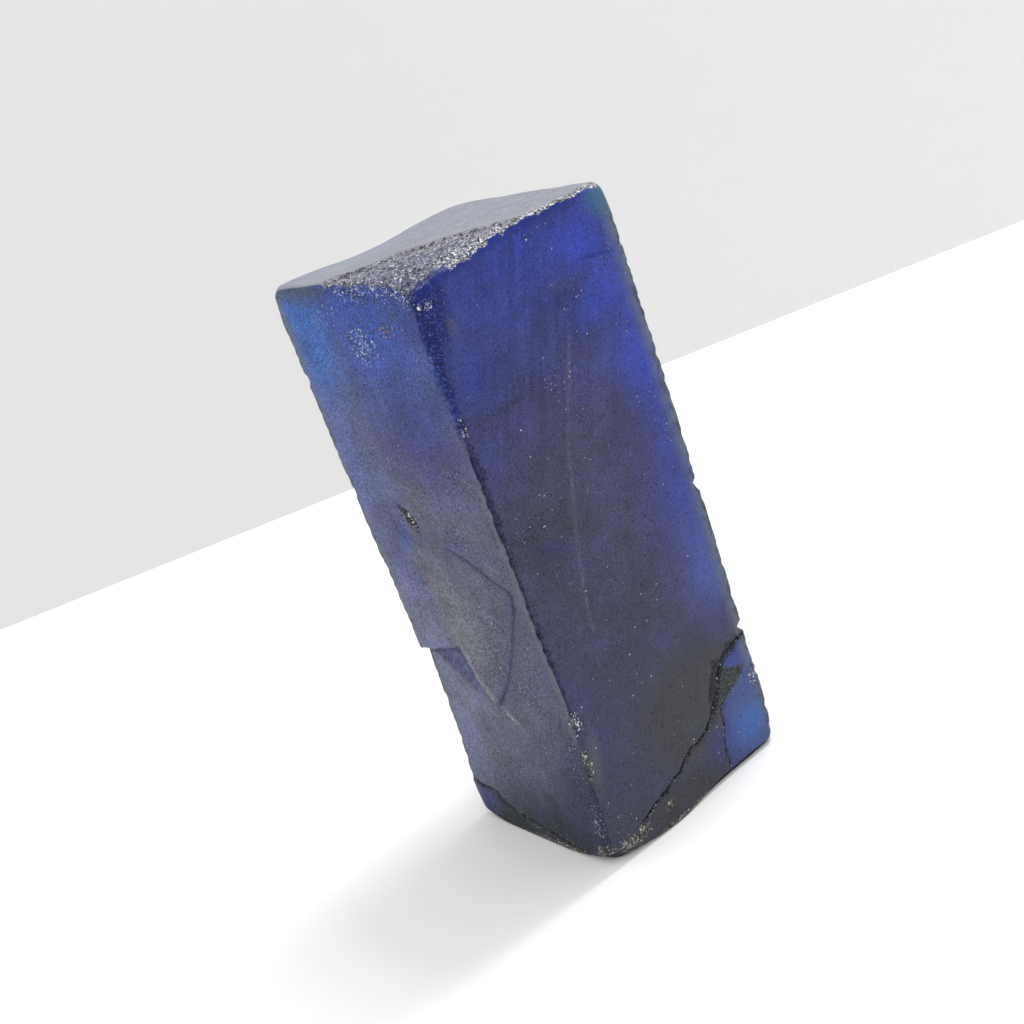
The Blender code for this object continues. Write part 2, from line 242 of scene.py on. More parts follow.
def in_chip(x, y):
    """How far inside the broken corner's ragged outline a place of the top is."""
    out_x = x + HALF + CHIP_CENTRE
    out_y = y + HALF + CHIP_CENTRE
    turn = np.arctan2(out_y, out_x)
    level = np.zeros(len(x))
    lobes = noise_at(np.stack([turn, level, level], axis=1), CHIP_LOBE, (0.0, 4.2, 0.3))
    fray = noise_at(np.stack([x, y, level], axis=1), CHIP_FRAY_LENGTH, (5.1, 1.2, 0.3))
    reach = CHIP_REACH * (1.0 + CHIP_RAGGED * lobes) + CHIP_FRAY * fray
    return reach - np.hypot(out_x, out_y)


def chip_floor(x, y):
    """Height of the broken shelf at the front top corner."""
    slope = CHIP_LOW + CHIP_RISE_X * (x + HALF) + CHIP_RISE_Y * (y + HALF)
    shelf = np.minimum(slope, top_height(x, y) - CHIP_STEP)
    flat = np.stack([x, y, x * 0.0], axis=1)
    rough = CHIP_ROUGH * noise_at(flat, CHIP_ROUGH_LENGTH, (0.0, 0.0, 0.7))
    rough += CHIP_GRAIN * noise_at(flat, CHIP_GRAIN_LENGTH, (3.3, 7.1, 0.2))
    tip = CHIP_TIP * nearness(np.hypot(x + HALF, y + HALF), CHIP_TIP_REACH)
    return shelf + rough - tip


def lean_block(points):
    """Leans the upright arrises, swells the base edge and the flake, and shapes the top."""
    x, y, z = points.T
    shift = np.zeros_like(points)
    shift[:, :2] = CENTRE
    for sx, sy, rows in CORNERS.values():
        weight = (1.0 + sx * x / HALF) * (1.0 + sy * y / HALF) / 4.0
        shift[:, :2] += read_rows(rows, z) * weight[:, None]
    swell = SWELL * nearness(x - SWELL_X, SWELL_REACH) * nearness(z, SWELL_RISE)
    shift[:, 1] -= swell * smooth_step(SKIN_DEPTH, -HALF, y)
    flake = FLAKE_PROUD * nearness(np.hypot(y - FLAKE[0], z - FLAKE[1]), FLAKE_REACH)
    shift[:, 0] -= flake * smooth_step(SKIN_DEPTH, -HALF, x)
    top = np.where(in_chip(x, y) > 0.0, chip_floor(x, y), top_height(x, y))
    shift[:, 2] = (top - HEIGHT) * smooth_step(HEIGHT - TOP_BLEND, HEIGHT, z)
    return points + shift


def inside_outline(outline, across, height):
    """How far inside a closed outline each spot lies; negative outside it."""
    corners = np.array(outline)
    spots = np.stack([across, height], axis=1)
    nearest = np.full(len(spots), 1e9)
    inside = np.zeros(len(spots), bool)
    for start, end in zip(corners, np.roll(corners, -1, axis=0)):
        side = end - start
        part = np.clip(((spots - start) @ side) / (side @ side), 0.0, 1.0)
        gap = np.linalg.norm(spots - start - part[:, None] * side, axis=1)
        nearest = np.minimum(nearest, gap)
        crosses = (start[1] > height) != (end[1] > height)
        rise = side[1] if abs(side[1]) > 1e-9 else 1e-9
        inside ^= crosses & (across < start[0] + (height - start[1]) * side[0] / rise)
    return np.where(inside, nearest, -nearest)


def kinked(route, sway, seat, lead=0):
    """A crack's route with small kinks between its points; lead is its even column."""
    kinks = []
    for start, end in zip(route, route[1:]):
        count = max(2, round(math.dist(start, end) / KINK_STEP))
        for step in range(count):
            spot = [a + (b - a) * step / count for a, b in zip(start, end)]
            spot[1 - lead] += sway * noise.noise(Vector((spot[lead] * KINK_RATE, seat, 0.4)))
            kinks.append(tuple(spot))
    return kinks + [route[-1]]


def open_crack(points, on_face, out, route, depth):
    """Draws the skin onto a crack's route and sinks it, out being the face's axis and sign."""
    axis, sign = out
    across = 1 - axis
    spots = points[:, (across, 2)]
    gap = np.full(len(points), 1e9)
    target = spots.copy()
    for start, end in zip(np.array(route), np.array(route[1:])):
        side = end - start
        part = np.clip(((spots - start) @ side) / (side @ side), 0.0, 1.0)[:, None]
        nearest = start + part * side
        away = np.linalg.norm(spots - nearest, axis=1)
        target[away < gap] = nearest[away < gap]
        gap = np.minimum(gap, away)
    drawn = on_face & (gap < CRACK_DRAW)
    points[drawn, across] = target[drawn, 0]
    points[drawn, 2] = target[drawn, 1]
    gap[drawn] = 0.0
    sunk = on_face & (gap < CRACK_HALF)
    points[sunk, axis] -= sign * depth * (1.0 - gap[sunk] / CRACK_HALF)


noise.seed_set(SEED)
skin = bmesh.new()
bmesh.ops.create_cube(skin, size=1.0)
for axis, cuts in ((0, CUTS_ACROSS), (1, CUTS_ACROSS), (2, CUTS_UP)):
    along = [edge for edge in skin.edges
             if abs(edge.verts[0].co[axis] - edge.verts[1].co[axis]) > 0.5]
    bmesh.ops.subdivide_edges(skin, edges=along, cuts=cuts, use_grid_fill=True)
stone_mesh = bpy.data.meshes.new("stone")
skin.to_mesh(stone_mesh)
skin.free()

even = np.empty(len(stone_mesh.vertices) * 3)
stone_mesh.vertices.foreach_get("co", even)
even = even.reshape(-1, 3)
crowd = np.array([CROWD_ACROSS, CROWD_ACROSS, CROWD_UP])
even += crowd * np.sin(2.0 * np.pi * even) / (2.0 * np.pi)
block = (even + (0.0, 0.0, 0.5)) * (2 * HALF, 2 * HALF, HEIGHT)
on_left = block[:, 0] < -HALF + 1e-4
on_right = block[:, 1] < -HALF + 1e-4
on_far = block[:, 0] > HALF - 1e-4
on_rear = block[:, 1] > HALF - 1e-4
on_top = block[:, 2] > HEIGHT - 1e-4
on_base = block[:, 2] < 1e-4
stone = round_off(block)

# The broken strip, flat across the arris.
x, y, z = stone.T
widths = read_rows(STRIP, z)
strip_inside = 1.0 - (x + HALF) / widths[:, 1] - (y + HALF) / widths[:, 0]
strip_inside[z < STRIP[0][0]] = -1.0
inward = np.maximum(strip_inside, 0.0) / (1.0 / widths[:, 0] + 1.0 / widths[:, 1])
stone[:, :2] += inward[:, None]

# Nicks, and the small bites all along the arrises.
away = np.maximum(HALF - np.abs(block[:, 0]), HALF - np.abs(block[:, 1]))
signs = np.sign(block[:, :2])
nick_depth = np.zeros(len(stone))
for name, height, depth, half in NICKS:
    sx, sy, _ = CORNERS[name]
    part = np.maximum(1.0 - np.abs(stone[:, 2] - height) / half, 0.0)
    close = np.maximum(1.0 - away / (SPREAD * depth), 0.0)
    mine = (signs[:, 0] == sx) & (signs[:, 1] == sy)
    nick_depth += np.where(mine, depth * part * close, 0.0)
ends = smooth_step(0.0, RIM_REACH, stone[:, 2])
ends *= smooth_step(HEIGHT, HEIGHT - RIM_REACH, stone[:, 2])
corner_line = np.stack([signs[:, 0] * 9.0, signs[:, 1] * 7.0, stone[:, 2]], axis=1)
bites = np.maximum(noise_at(corner_line, CRUMBLE_LENGTH, (0.5, 0.5, 0.0)) + 0.1, 0.0)
bites *= CRUMBLE * np.maximum(1.0 - away / CRUMBLE_REACH, 0.0) * ends
stone[:, :2] -= signs * (nick_depth + bites)[:, None]
scallops = np.maximum(noise_at(corner_line, SCALLOP_LENGTH, (2.5, 3.5, 0.0)), 0.0) * 2.0
scallops *= smooth_step(*SCALLOP_SPAN[:2], stone[:, 2])
scallops *= smooth_step(*SCALLOP_SPAN[:1:-1], stone[:, 2])
scallops *= np.maximum(1.0 - (block[:, 0] + HALF) / SCALLOP_REACH, 0.0)
scallops[~on_right] = 0.0
stone[:, 1] += SCALLOP * scallops

# The flake scar: the skin inside its outline goes back to its sloping floor.
edge_sway = SCAR_SWAY * noise_at(stone, SCAR_SWAY_LENGTH, (1.7, 2.9, 4.1))
scar_inside = inside_outline(SCAR, stone[:, 1], stone[:, 2]) + edge_sway
scar_depth = (SCAR_FALL_Y * (stone[:, 1] - SCAR_ROOT[0])
              + SCAR_FALL_Z * (stone[:, 2] - SCAR_ROOT[1]))
scar = np.maximum(scar_depth, 0.0) * smooth_step(*SCAR_EDGE, scar_inside)
stone[:, 0] += scar * smooth_step(SCAR_FADE, -HALF, stone[:, 0])

# The lean, the top with its broken corner, and the unevenness of the faces.
chip_inside = in_chip(stone[:, 0], stone[:, 1])
stone = lean_block(stone)
lift = smooth_step(0.3, 3.0, stone[:, 2])[:, None]
slow = [noise.noise_vector(Vector(spot)) for spot in stone / WAVE_LENGTH + (3.1, 7.7, 1.3)]
fine = [noise.noise_vector(Vector(spot)) for spot in stone / FACE_GRAIN_LENGTH + (9.4, 2.6, 5.8)]
stone += (np.array(slow) * WAVE + np.array(fine) * FACE_GRAIN) * lift

# Cracks and pits.
main_route = kinked(CRACK_MAIN, 0.3, 1.5)
branch_route = kinked(CRACK_BRANCH, 0.2, 4.5, lead=1)
side_route = kinked(CRACK_SIDE, 0.35, 7.5)
left_route = kinked(CRACK_LEFT, 0.1, 2.5, lead=1)
base_route = kinked(CRACK_BASE, 0.25, 3.5)
RIGHT_SIDE = (1, -1.0)
LEFT_SIDE = (0, -1.0)
FAR_SIDE = (0, 1.0)
open_crack(stone, on_right, RIGHT_SIDE, main_route, 0.26)
open_crack(stone, on_right, RIGHT_SIDE, branch_route, 0.16)
open_crack(stone, on_far, FAR_SIDE, side_route, 0.24)
open_crack(stone, on_left, LEFT_SIDE, left_route, 0.05)
open_crack(stone, on_left, LEFT_SIDE, base_route, 0.2)
for pit_y, pit_z, radius in PITS:
    gap = np.hypot(stone[:, 1] - pit_y, stone[:, 2] - pit_z)
    bowl = radius * np.sqrt(np.maximum(1.0 - (gap / radius) ** 2, 0.0))
    stone[on_left, 0] += PIT_DEPTH * bowl[on_left]

# How broken the skin is: the corner, the strip, the nicks, the crumbled top rims and
# the front foot. Broken skin stands in grains.
side_x = block[:, 0]
side_y = block[:, 1]
rim_gap = HEIGHT - block[:, 2]
broken = np.where(on_top, smooth_step(-0.1, 0.15, chip_inside), 0.0)
broken = np.maximum(broken, np.where(chip_inside > 0.0, smooth_step(0.9, 0.2, rim_gap), 0.0))
broken = np.maximum(broken, STRIP_BREAK * smooth_step(-0.1, 0.1, strip_inside))
broken = np.maximum(broken, smooth_step(0.05, 0.2, nick_depth))
crumb_sway = CRUMB_SWAY * noise_at(stone, CRUMB_SWAY_LENGTH, (6.6, 1.4, 2.2))
crumbs = on_top & (side_y + HALF < CRUMB_REACH + crumb_sway) & (side_x < HALF - 0.4)
broken = np.maximum(broken, RIM_BREAK * crumbs)
foot = np.linalg.norm((block - (-HALF, -HALF, 0.0)) * FOOT_STRETCH, axis=1)
broken = np.maximum(broken, FOOT_BREAK * smooth_step(*FOOT_REACH, foot))
grains = np.array([noise.noise_vector(Vector(spot)) for spot in stone / BROKEN_GRAIN_LENGTH])
stone += grains * (BROKEN_GRAIN * broken * smooth_step(0.02, 0.5, stone[:, 2]))[:, None]

stone_mesh.vertices.foreach_set("co", (stone * MM).ravel())
faces_met = on_left * 1.0 + on_right + on_far + on_rear + on_top + on_base
front_gap = np.maximum(side_x, side_y) + HALF
outer_gap = HALF - np.maximum(np.minimum(side_x, -side_y), np.minimum(-side_x, side_y))
outer_gap = np.minimum(outer_gap, HALF - np.minimum(side_x, side_y))
marks = {
    "top": on_top / faces_met,
    "strip": np.clip(strip_inside, -1.0, 1.0),
    "chip": chip_inside,
    "right_edge": side_y + HALF,
    "scallop": np.clip(scallops, 0.0, 1.0),
    "front_gap": front_gap,
    "outer_gap": outer_gap,
    "rim_gap": rim_gap,
}
for name, values in marks.items():
    mark = stone_mesh.attributes.new(name, "FLOAT", "POINT")
    mark.data.foreach_set("value", values.astype(np.float32))
stone_mesh.polygons.foreach_set("use_smooth", np.ones(len(stone_mesh.polygons), bool))
stone_mesh.update()
stone_piece = bpy.data.objects.new("stone", stone_mesh)
bpy.context.collection.objects.link(stone_piece)


# The stone's finish: slate-grey feldspar with a blue flash inside it, which is deepest at
# the top and along the right arris; the flash is painted in as a fixed blue reflection. The saw
# left scratches and pits filled with pale dust, and the light that the worn arrises let through
# is painted in as an olive glow.
class Shade:
    """A value in a shader. Arithmetic on it adds Math nodes to its material."""

    def __init__(self, socket):
        self.socket = socket

    def node(self, kind, settings, inputs, output=0):
        """Adds a node of any kind beside this value, and gives one of its outputs."""
        tree = self.socket.id_data
        made = tree.nodes.new("ShaderNode" + kind)
        for name, value in settings.items():
            if name == "stops":
                lay_stops(made.color_ramp, value)
            elif name == "points":
                lay_points(made.mapping, value)
            else:
                setattr(made, name, value)
        for name, value in inputs.items():
            if isinstance(value, Shade):
                tree.links.new(value.socket, made.inputs[name])
            else:
                made.inputs[name].default_value = value
        return Shade(made.outputs[output])

    def math(self, operation, first, second=0.0):
        return self.node("Math", {"operation": operation}, {0: first, 1: second})

    def __add__(self, other):
        return self.math("ADD", self, other)

    def __sub__(self, other):
        return self.math("SUBTRACT", self, other)

    def __rsub__(self, other):
        return self.math("SUBTRACT", other, self)

    def __mul__(self, other):
        return self.math("MULTIPLY", self, other)

    def __truediv__(self, other):
        return self.math("DIVIDE", self, other)

    def __abs__(self):
        return self.math("ABSOLUTE", self)

    __radd__ = __add__
    __rmul__ = __mul__

    def step(self, low, high):
        """0 at low, 1 at high, and an S-shaped rise between them."""
        limits = {"Value": self, "From Min": low, "From Max": high}
        return self.node("MapRange", {"interpolation_type": "SMOOTHSTEP"}, limits)

    def band(self, low, rise, fall, high):
        """1 from rise to fall, and 0 below low and above high."""
        return self.step(low, rise) * self.step(high, fall)

    def most(self, other):
        """The larger of two values."""
        return self.math("MAXIMUM", self, other)


def lay_stops(ramp, stops):
    """Sets a colour ramp's stops, given as (place, colour)."""
    while len(ramp.elements) < len(stops):
        ramp.elements.new(0.5)
    for element, (place, colour) in zip(ramp.elements, stops):
        element.position = place
        element.color = (*colour, 1.0)


def lay_points(mapping, points):
    """Sets a curve's points, joined by straight lines."""
    curve = mapping.curves[0]
    for place, value in points[1:-1]:
        curve.points.new(place, value)
    curve.points[0].location = points[0]
    curve.points[-1].location = points[-1]
    for point in curve.points:
        point.handle_type = "VECTOR"
    mapping.update()


def new_material(name):
    """A bare material with a Principled shader: its tree and the shader's node."""
    material = bpy.data.materials.new(name)
    material.use_nodes = True
    return material, material.node_tree, material.node_tree.nodes["Principled BSDF"]


def tint(base, colour, amount, blend="MIX"):
    """Lays a colour over another by an amount."""
    if not isinstance(colour, Shade):
        colour = (*colour, 1.0)
    settings = {"data_type": "RGBA", "blend_type": blend}
    return base.node("Mix", settings, {0: amount, 6: base, 7: colour}, output=2)


def scaled(spot, factors):
    """A place multiplied along each axis."""
    return spot.node("VectorMath", {"operation": "MULTIPLY"}, {0: spot, 1: factors})


def cloud(spot, size, detail=2.0, roughness=0.5):
    """Soft noise from 0 to 1 with clouds about a size across, in millimetres."""
    inputs = {"Vector": spot, "Scale": 1.0 / size, "Detail": detail, "Roughness": roughness}
    return spot.node("TexNoise", {}, inputs)


def specks(spot, size, reach, share, seat):
    """Round specks of a reach, in a share of cells of a size, in millimetres."""
    seated = moved(spot, (seat, seat, seat))
    inputs = {"Vector": seated, "Scale": 1.0 / size, "Randomness": 1.0}
    cells = seated.node("TexVoronoi", {}, inputs)
    chance = cells.node("SeparateColor", {}, {0: Shade(cells.socket.node.outputs["Color"])})
    there = chance.math("LESS_THAN", chance, share)
    round_spot = cells.step(reach / size, 0.55 * reach / size)
    return round_spot * there


def patch(spot, middle, reach, turn=0.0, soft=0.9):
    """1 in an oval on a face and 0 outside it, with a soft edge."""
    places = {"Vector": spot, "Location": (*middle, 0.0), "Scale": (*reach, 1.0),
              "Rotation": (0.0, 0.0, math.radians(turn))}
    placed = spot.node("Mapping", {"vector_type": "TEXTURE"}, places)
    out = placed.node("VectorMath", {"operation": "LENGTH"}, {0: placed}, output="Value")
    return out.step(1.0, 1.0 - soft)


def route_gap(spot_lead, spot_other, route, lead=0):
    """Signed gap from a route that runs along its lead column, and 1 between its ends."""
    low = route[0][lead]
    high = route[-1][lead]
    base = min(spot[1 - lead] for spot in route) - 0.5
    span = max(spot[1 - lead] for spot in route) + 0.5 - base
    points = [((spot[lead] - low) / (high - low), (spot[1 - lead] - base) / span)
              for spot in route]
    part = (spot_lead - low) / (high - low)
    read = part.node("FloatCurve", {"points": points}, {"Value": part})
    beside = spot_other - (read * span + base)
    return beside, part.band(-0.01, 0.01, 0.99, 1.01)


# Sizes, in millimetres, of the noises that every side shares.
GRAIN_SIZE = 0.27
MOTTLE_SIZE = 1.6
RAGGED_SIZE = 0.75
BEAD_SIZE = 0.42
SOFT_SWAY = (5.0, 2.6)      # size and reach: bends the edges of the clouds of colour
FINE_SWAY = (0.3, 0.11)     # roughens the outlines of the specks


class Ground:
    """Where a side's shader stands in the stone, and the noises that its looks share."""

    def __init__(self, tree):
        raw = Shade(tree.nodes.new("ShaderNodeTexCoord").outputs["Object"])
        self.place = scaled(raw, (1.0 / MM,) * 3)
        self.x, self.y, self.z = columns(self.place)
        self.soft_x, self.soft_y, self.soft_z = columns(sway(self.place, *SOFT_SWAY))
        self.crumpled = sway(self.place, *FINE_SWAY, 2.0)
        self.grain = cloud(self.place, GRAIN_SIZE, 3.0, 0.7)
        self.grit = self.grain - 0.5
        self.mottle = cloud(self.place, MOTTLE_SIZE, 3.0, 0.6)
        self.ragged = cloud(self.place, RAGGED_SIZE, 3.0, 0.6) - 0.5

    def mark(self, name):
        """One of the mesh's own marks."""
        return self.place.node("Attribute", {"attribute_name": name}, {}, output="Fac")

    def flat(self, colour):
        """A colour, as a value to lay others over."""
        return tint(self.place, colour, 1.0)

    def clusters(self):
        """Clouds in which the specks gather."""
        return cloud(self.place, CLUSTER_SIZE, 2.0)

    def granular(self, colour, contrast, level, darkest):
        """A colour that varies from grain to grain."""
        return shaded(self.flat(colour), (self.grit * contrast + level).most(darkest))

    def beads(self):
        """The small swellings of a crack's line."""
        return cloud(self.place, BEAD_SIZE, 2.0) - 0.5


def columns(spot):
    """The X, Y and Z of a place."""
    split = spot.node("SeparateXYZ", {}, {0: spot})
    return [Shade(split.socket.node.outputs[name]) for name in "XYZ"]


def sheet_spot(across, height):
    """A place on a face, as one vector."""
    return across.node("CombineXYZ", {}, {0: across, 1: height})


def moved(spot, by):
    """A place shifted by a fixed step."""
    return spot.node("VectorMath", {"operation": "ADD"}, {0: spot, 1: by})


def sway(spot, size, reach, detail=3.0):
    """A place shifted about by soft noise."""
    inputs = {"Vector": spot, "Scale": 1.0 / size, "Detail": detail}
    drift = spot.node("TexNoise", {}, inputs, output="Color")
    drift = scaled(moved(drift, (-0.5, -0.5, -0.5)), (2.0 * reach,) * 3)
    return moved(spot, drift)


def streaks(spot, lean, length, width, seat):
    """Noise drawn out into lines on a face, leaning by degrees from upright."""
    drawn = {"Vector": spot, "Rotation": (0.0, 0.0, math.radians(lean)),
             "Location": (seat, seat, 0.0), "Scale": (width, length, 1.0)}
    lines = spot.node("Mapping", {"vector_type": "TEXTURE"}, drawn)
    return cloud(lines, 1.0, 2.0)


def random_cells(spot, size):
    """A random value from 0 to 1 for each crystal grain of a size."""
    cells = spot.node("TexVoronoi", {}, {"Vector": spot, "Scale": 1.0 / size}, output="Color")
    return cells.node("SeparateColor", {}, {0: cells})


def ramp(value, stops):
    """A colour read off stops of (place, colour)."""
    return value.node("ValToRGB", {"stops": stops}, {0: value})


def shaded(colour, factor):
    """A colour made lighter or darker by a factor."""
    grey = factor.node("CombineColor", {}, {0: factor, 1: factor, 2: factor})
    return tint(colour, grey, 1.0, "MULTIPLY")


def lay_patches(colour, spot, patches):
    """Lays ovals of colour on a face: (colour, middle, reach, amount, turn, softness)."""
    for shade, middle, reach, amount, *shape in patches:
        colour = tint(colour, shade, patch(spot, middle, reach, *shape) * amount)
    return colour


def crowds(spot, places, soft=0.6):
    """How crowded the specks are: 1 inside any oval of (middle, reach)."""
    crowded = patch(spot, *places[0], 0.0, soft)
    for place in places[1:]:
        crowded = crowded.most(patch(spot, *place, 0.0, soft))
    return crowded


# Specks, flecks and grains, by size in millimetres.
FINE_GRAIN = 0.15
NAVY_FLECK = 0.25
BRIGHT_FLECK = 0.26
SHADOW_SHIFT = (-0.07, 0.07, 0.12)      # puts a fleck's shadow below it, to its right
SPECK_CELL = 0.8            # one speck at most in each cell of this size
DARK_SPECK = 0.12
GLINT_SPECK = 0.09
CRACK_CELL = 0.3
CRACK_SPECK = 0.085
SAW_PIT_CELL = 0.72
SAW_PIT = 0.17
DUST_GRAIN = 0.12
CHIP_CRYSTAL = 0.15
CRUMB_SIZE = 0.13
FOOT_CRYSTAL = 0.17
BODY_CLOUD = 3.6
CLUSTER_SIZE = 3.2

# Colours of the stone's body, and of the flash inside it.
SLATE = (0.040, 0.0416, 0.082)
SLATE_BLUE = (0.033, 0.040, 0.120)
DARK_SLATE = (0.025, 0.028, 0.063)
COAL = (0.0335, 0.035, 0.040)
ULTRAMARINE = (0.019, 0.034, 0.225)
COBALT = (0.034, 0.050, 0.275)
VIOLET = (0.028, 0.034, 0.165)
LAVENDER = (0.119, 0.134, 0.246)
BROWN_GREY = (0.068, 0.064, 0.074)
FOOT_SLATE = (0.014, 0.017, 0.048)
NAVY = (0.010, 0.014, 0.046)
RIM_GREY = (0.138, 0.154, 0.165)
RIM_SEA = (0.110, 0.138, 0.142)
RIM_GREEN = (0.16, 0.19, 0.17)
OLIVE_GREY = (0.100, 0.112, 0.105)
OLIVE_DARK = (0.050, 0.053, 0.046)
DUSTY_GREY = (0.245, 0.245, 0.262)
LILAC_GREY = (0.125, 0.130, 0.185)
DEEP_SHADE = (0.03, 0.035, 0.06)
DARK = (0.002, 0.002, 0.004)
GLINT = (0.62, 0.64, 0.68)
WHITE_GRAIN = (0.74, 0.75, 0.77)

# Colours of the grains in the broken strip and at the foot, each with its place in the mix.
STRIP_BLUES = ((0.0, (0.0, 0.001, 0.02)), (0.45, (0.001, 0.006, 0.11)),
               (0.8, (0.01, 0.02, 0.19)), (1.0, (0.075, 0.10, 0.24)))
FOOT_GRAINS = ((0.0, (0.004, 0.004, 0.005)), (0.35, (0.03, 0.032, 0.033)),
               (0.55, (0.06, 0.064, 0.055)), (0.75, (0.12, 0.122, 0.10)),
               (0.92, (0.26, 0.25, 0.20)), (1.0, (0.62, 0.62, 0.60)))


def flecks(spot, size, level, share):
    """Ragged flecks of a size, where noise passes a level that falls as they crowd."""
    return (cloud(spot, size, 1.0) + share * 0.12).step(level, level + 0.06)


def lay_clouds(ground, colour, amount):
    """Brownish and bluish clouds of a few millimetres in the stone's body."""
    drift = cloud(moved(ground.place, (9.0, 2.0, 6.0)), BODY_CLOUD, 3.0, 0.6)
    colour = shaded(colour, (drift - 0.5) * -1.1 * amount + 1.0)
    colour = tint(colour, BROWN_GREY, drift.step(0.54, 0.78) * 0.2 * amount)
    return tint(colour, ULTRAMARINE, drift.step(0.46, 0.24) * 0.22 * amount)


def speck_share(ground, spot, places):
    """How many specks there are: more in the clusters, and more still in the crowds."""
    return ground.clusters().step(0.35, 0.68) * 0.5 + crowds(spot, places) * 0.45 + 0.1


def lay_specks(ground, colour, share, contrast):
    """Grain, dark flecks and pits, and glints that each have a dark side."""
    fine = cloud(ground.place, FINE_GRAIN, 1.0) - 0.5
    fleck = ground.grit * 1.6 + fine * 1.2 + (ground.mottle - 0.5) * 0.5
    colour = shaded(colour, (fleck * contrast + 0.97).most(0.15))
    colour = tint(colour, NAVY, flecks(ground.place, NAVY_FLECK, 0.72, share * contrast) * 0.85)
    holes = specks(ground.crumpled, SPECK_CELL, DARK_SPECK, share * 0.25, 3.0)
    colour = tint(colour, DARK, holes * 0.5)
    seated = moved(ground.place, (31.0, 17.0, 5.0))
    shadow = flecks(moved(seated, SHADOW_SHIFT), BRIGHT_FLECK, 0.74, share)
    colour = tint(colour, DARK, shadow * 0.6)
    colour = tint(colour, GLINT, flecks(seated, BRIGHT_FLECK, 0.8, share) * 0.6)
    glints = specks(ground.crumpled, SPECK_CELL, GLINT_SPECK, share * 0.35, 8.0)
    return tint(colour, GLINT, glints * ground.grain.step(0.35, 0.6))


def lay_rim_glow_and_wear(ground, colour, shade, wide):
    """Worn arrises let a grey-olive light through, painted over a wide and a near reach."""
    ragged = ground.ragged
    outer_gap = ground.mark("outer_gap")
    patchy = (ground.mottle + ragged).step(0.25, 0.7) * 0.7 + 0.5
    far_rim = (outer_gap + ragged * 1.2).step(2.3, 0.2) * patchy * wide
    near_rim = (outer_gap + ragged * 0.6).step(0.85, 0.1) * 0.55
    # Painted glow of the light let through the worn arrises.
    colour = tint(colour, shade, far_rim.most(near_rim))
    edge = (outer_gap + ragged * 1.8 + (ground.mottle - 0.5) * 1.6).step(0.8, 0.25)
    shade = ground.granular(OLIVE_DARK, 6.0, 1.0, 0.15)
    colour = tint(colour, shade, edge * 0.7)
    corner = ground.z.step(57.0, 60.0) * (outer_gap + ragged * 1.6).step(2.2, 0.5)
    shade = ground.granular(RIM_GREEN, 5.0, 1.0, 0.2)
    return tint(colour, shade, corner * 0.5)


def lay_breakage(ground, colour, chip, crumbs):
    """Broken skin: lilac-grey and finely granular, with painted glitter, whitest by the right face's
    rim.
    """
    ragged = ground.ragged
    right_edge = ground.mark("right_edge")
    white_side = (right_edge + ragged * 3.0).step(4.4, 0.8) * ground.x.step(-9.0, -5.5)
    tiny = cloud(ground.place, DUST_GRAIN, 2.0, 0.7) - 0.5
    chip_gap = ground.mark("chip") + ragged * 0.8
    dust = tint(ground.flat(LILAC_GREY), DEEP_SHADE, ground.mottle.step(0.45, 0.7) * 0.65)
    dust = tint(dust, DUSTY_GREY, (white_side * 0.3).most(chip_gap.step(5.5, 1.5) * 0.5))
    dust = shaded(dust, (tiny * 9.5 + ground.grit * 4.5 + 1.0).most(0.03))
    # White and black crystal cells: grains of the broken stone, with painted glitter of light and
    # shade on their facets.
    cells = random_cells(ground.crumpled, CHIP_CRYSTAL)
    whites = (cells + white_side * 0.12 + crumbs * 0.1).step(0.9, 1.0)
    dust = tint(dust, WHITE_GRAIN, whites * 0.85)
    blacks = (cells - white_side * 0.05 - crumbs * 0.1).step(0.17, 0.08)
    dust = tint(dust, DARK, blacks * 0.9)
    holes = chip_gap.step(1.8, 0.4) * chip_gap.step(-0.4, 0.0) * ground.mark("top")
    holes = holes * ragged.step(-0.04, 0.06) * ground.grain.step(0.36, 0.5)
    dust = tint(dust, DARK, holes * 0.85)
    return tint(colour, dust, chip.most(crumbs))


def side_chip(ground, depth):
    """The broken corner's lower edge, a depth down the upright sides."""
    reach = (ground.ragged * 1.9 + depth - ground.mark("rim_gap")).step(-0.4, 0.5)
    return reach * ground.mark("chip").step(-0.6, 1.2)


def lay_strip(ground, colour, zone):
    """The broken strip under the corner is a deeper, granular blue."""
    fine = cloud(moved(ground.place, (3.0, 5.0, 7.0)), DUST_GRAIN, 1.0) - 0.5
    shade = ramp(ground.grit * 2.0 + fine * 2.8 + 0.45, STRIP_BLUES)
    return tint(colour, shade, zone * 0.9)


def strip_zone(ground):
    """Where the strip lies on the upright sides, fading to the right."""
    strip = ground.mark("strip") + ground.ragged * 1.5 + ground.grit * 1.2
    return (strip - ground.z.step(57.0, 51.0) * 0.65).step(-0.4, 0.2)


def lay_crumbs(ground, colour, amount):
    """Scattered black and white crumbs, as crowded as the amount."""
    cells = random_cells(ground.crumpled, CRUMB_SIZE) + ground.ragged * 0.3
    place = amount * 0.3 + ground.grit * 0.6
    colour = tint(colour, DARK, (place - cells).step(0.0, 0.1) * amount.step(0.0, 0.2) * 0.75)
    return tint(colour, GLINT, (cells + place).step(1.09, 1.3) * amount.step(0.0, 0.2))


def lay_foot_grains(ground, colour, spots):
    """Loose grains of the crumbled foot: black, olive and pale yellow."""
    shade = ramp(random_cells(ground.crumpled, FOOT_CRYSTAL), FOOT_GRAINS)
    amount = spots * 0.9 + ground.ragged * 1.5 + ground.grit * 1.6
    return tint(colour, shade, amount.step(0.4, 0.8) * 0.85)


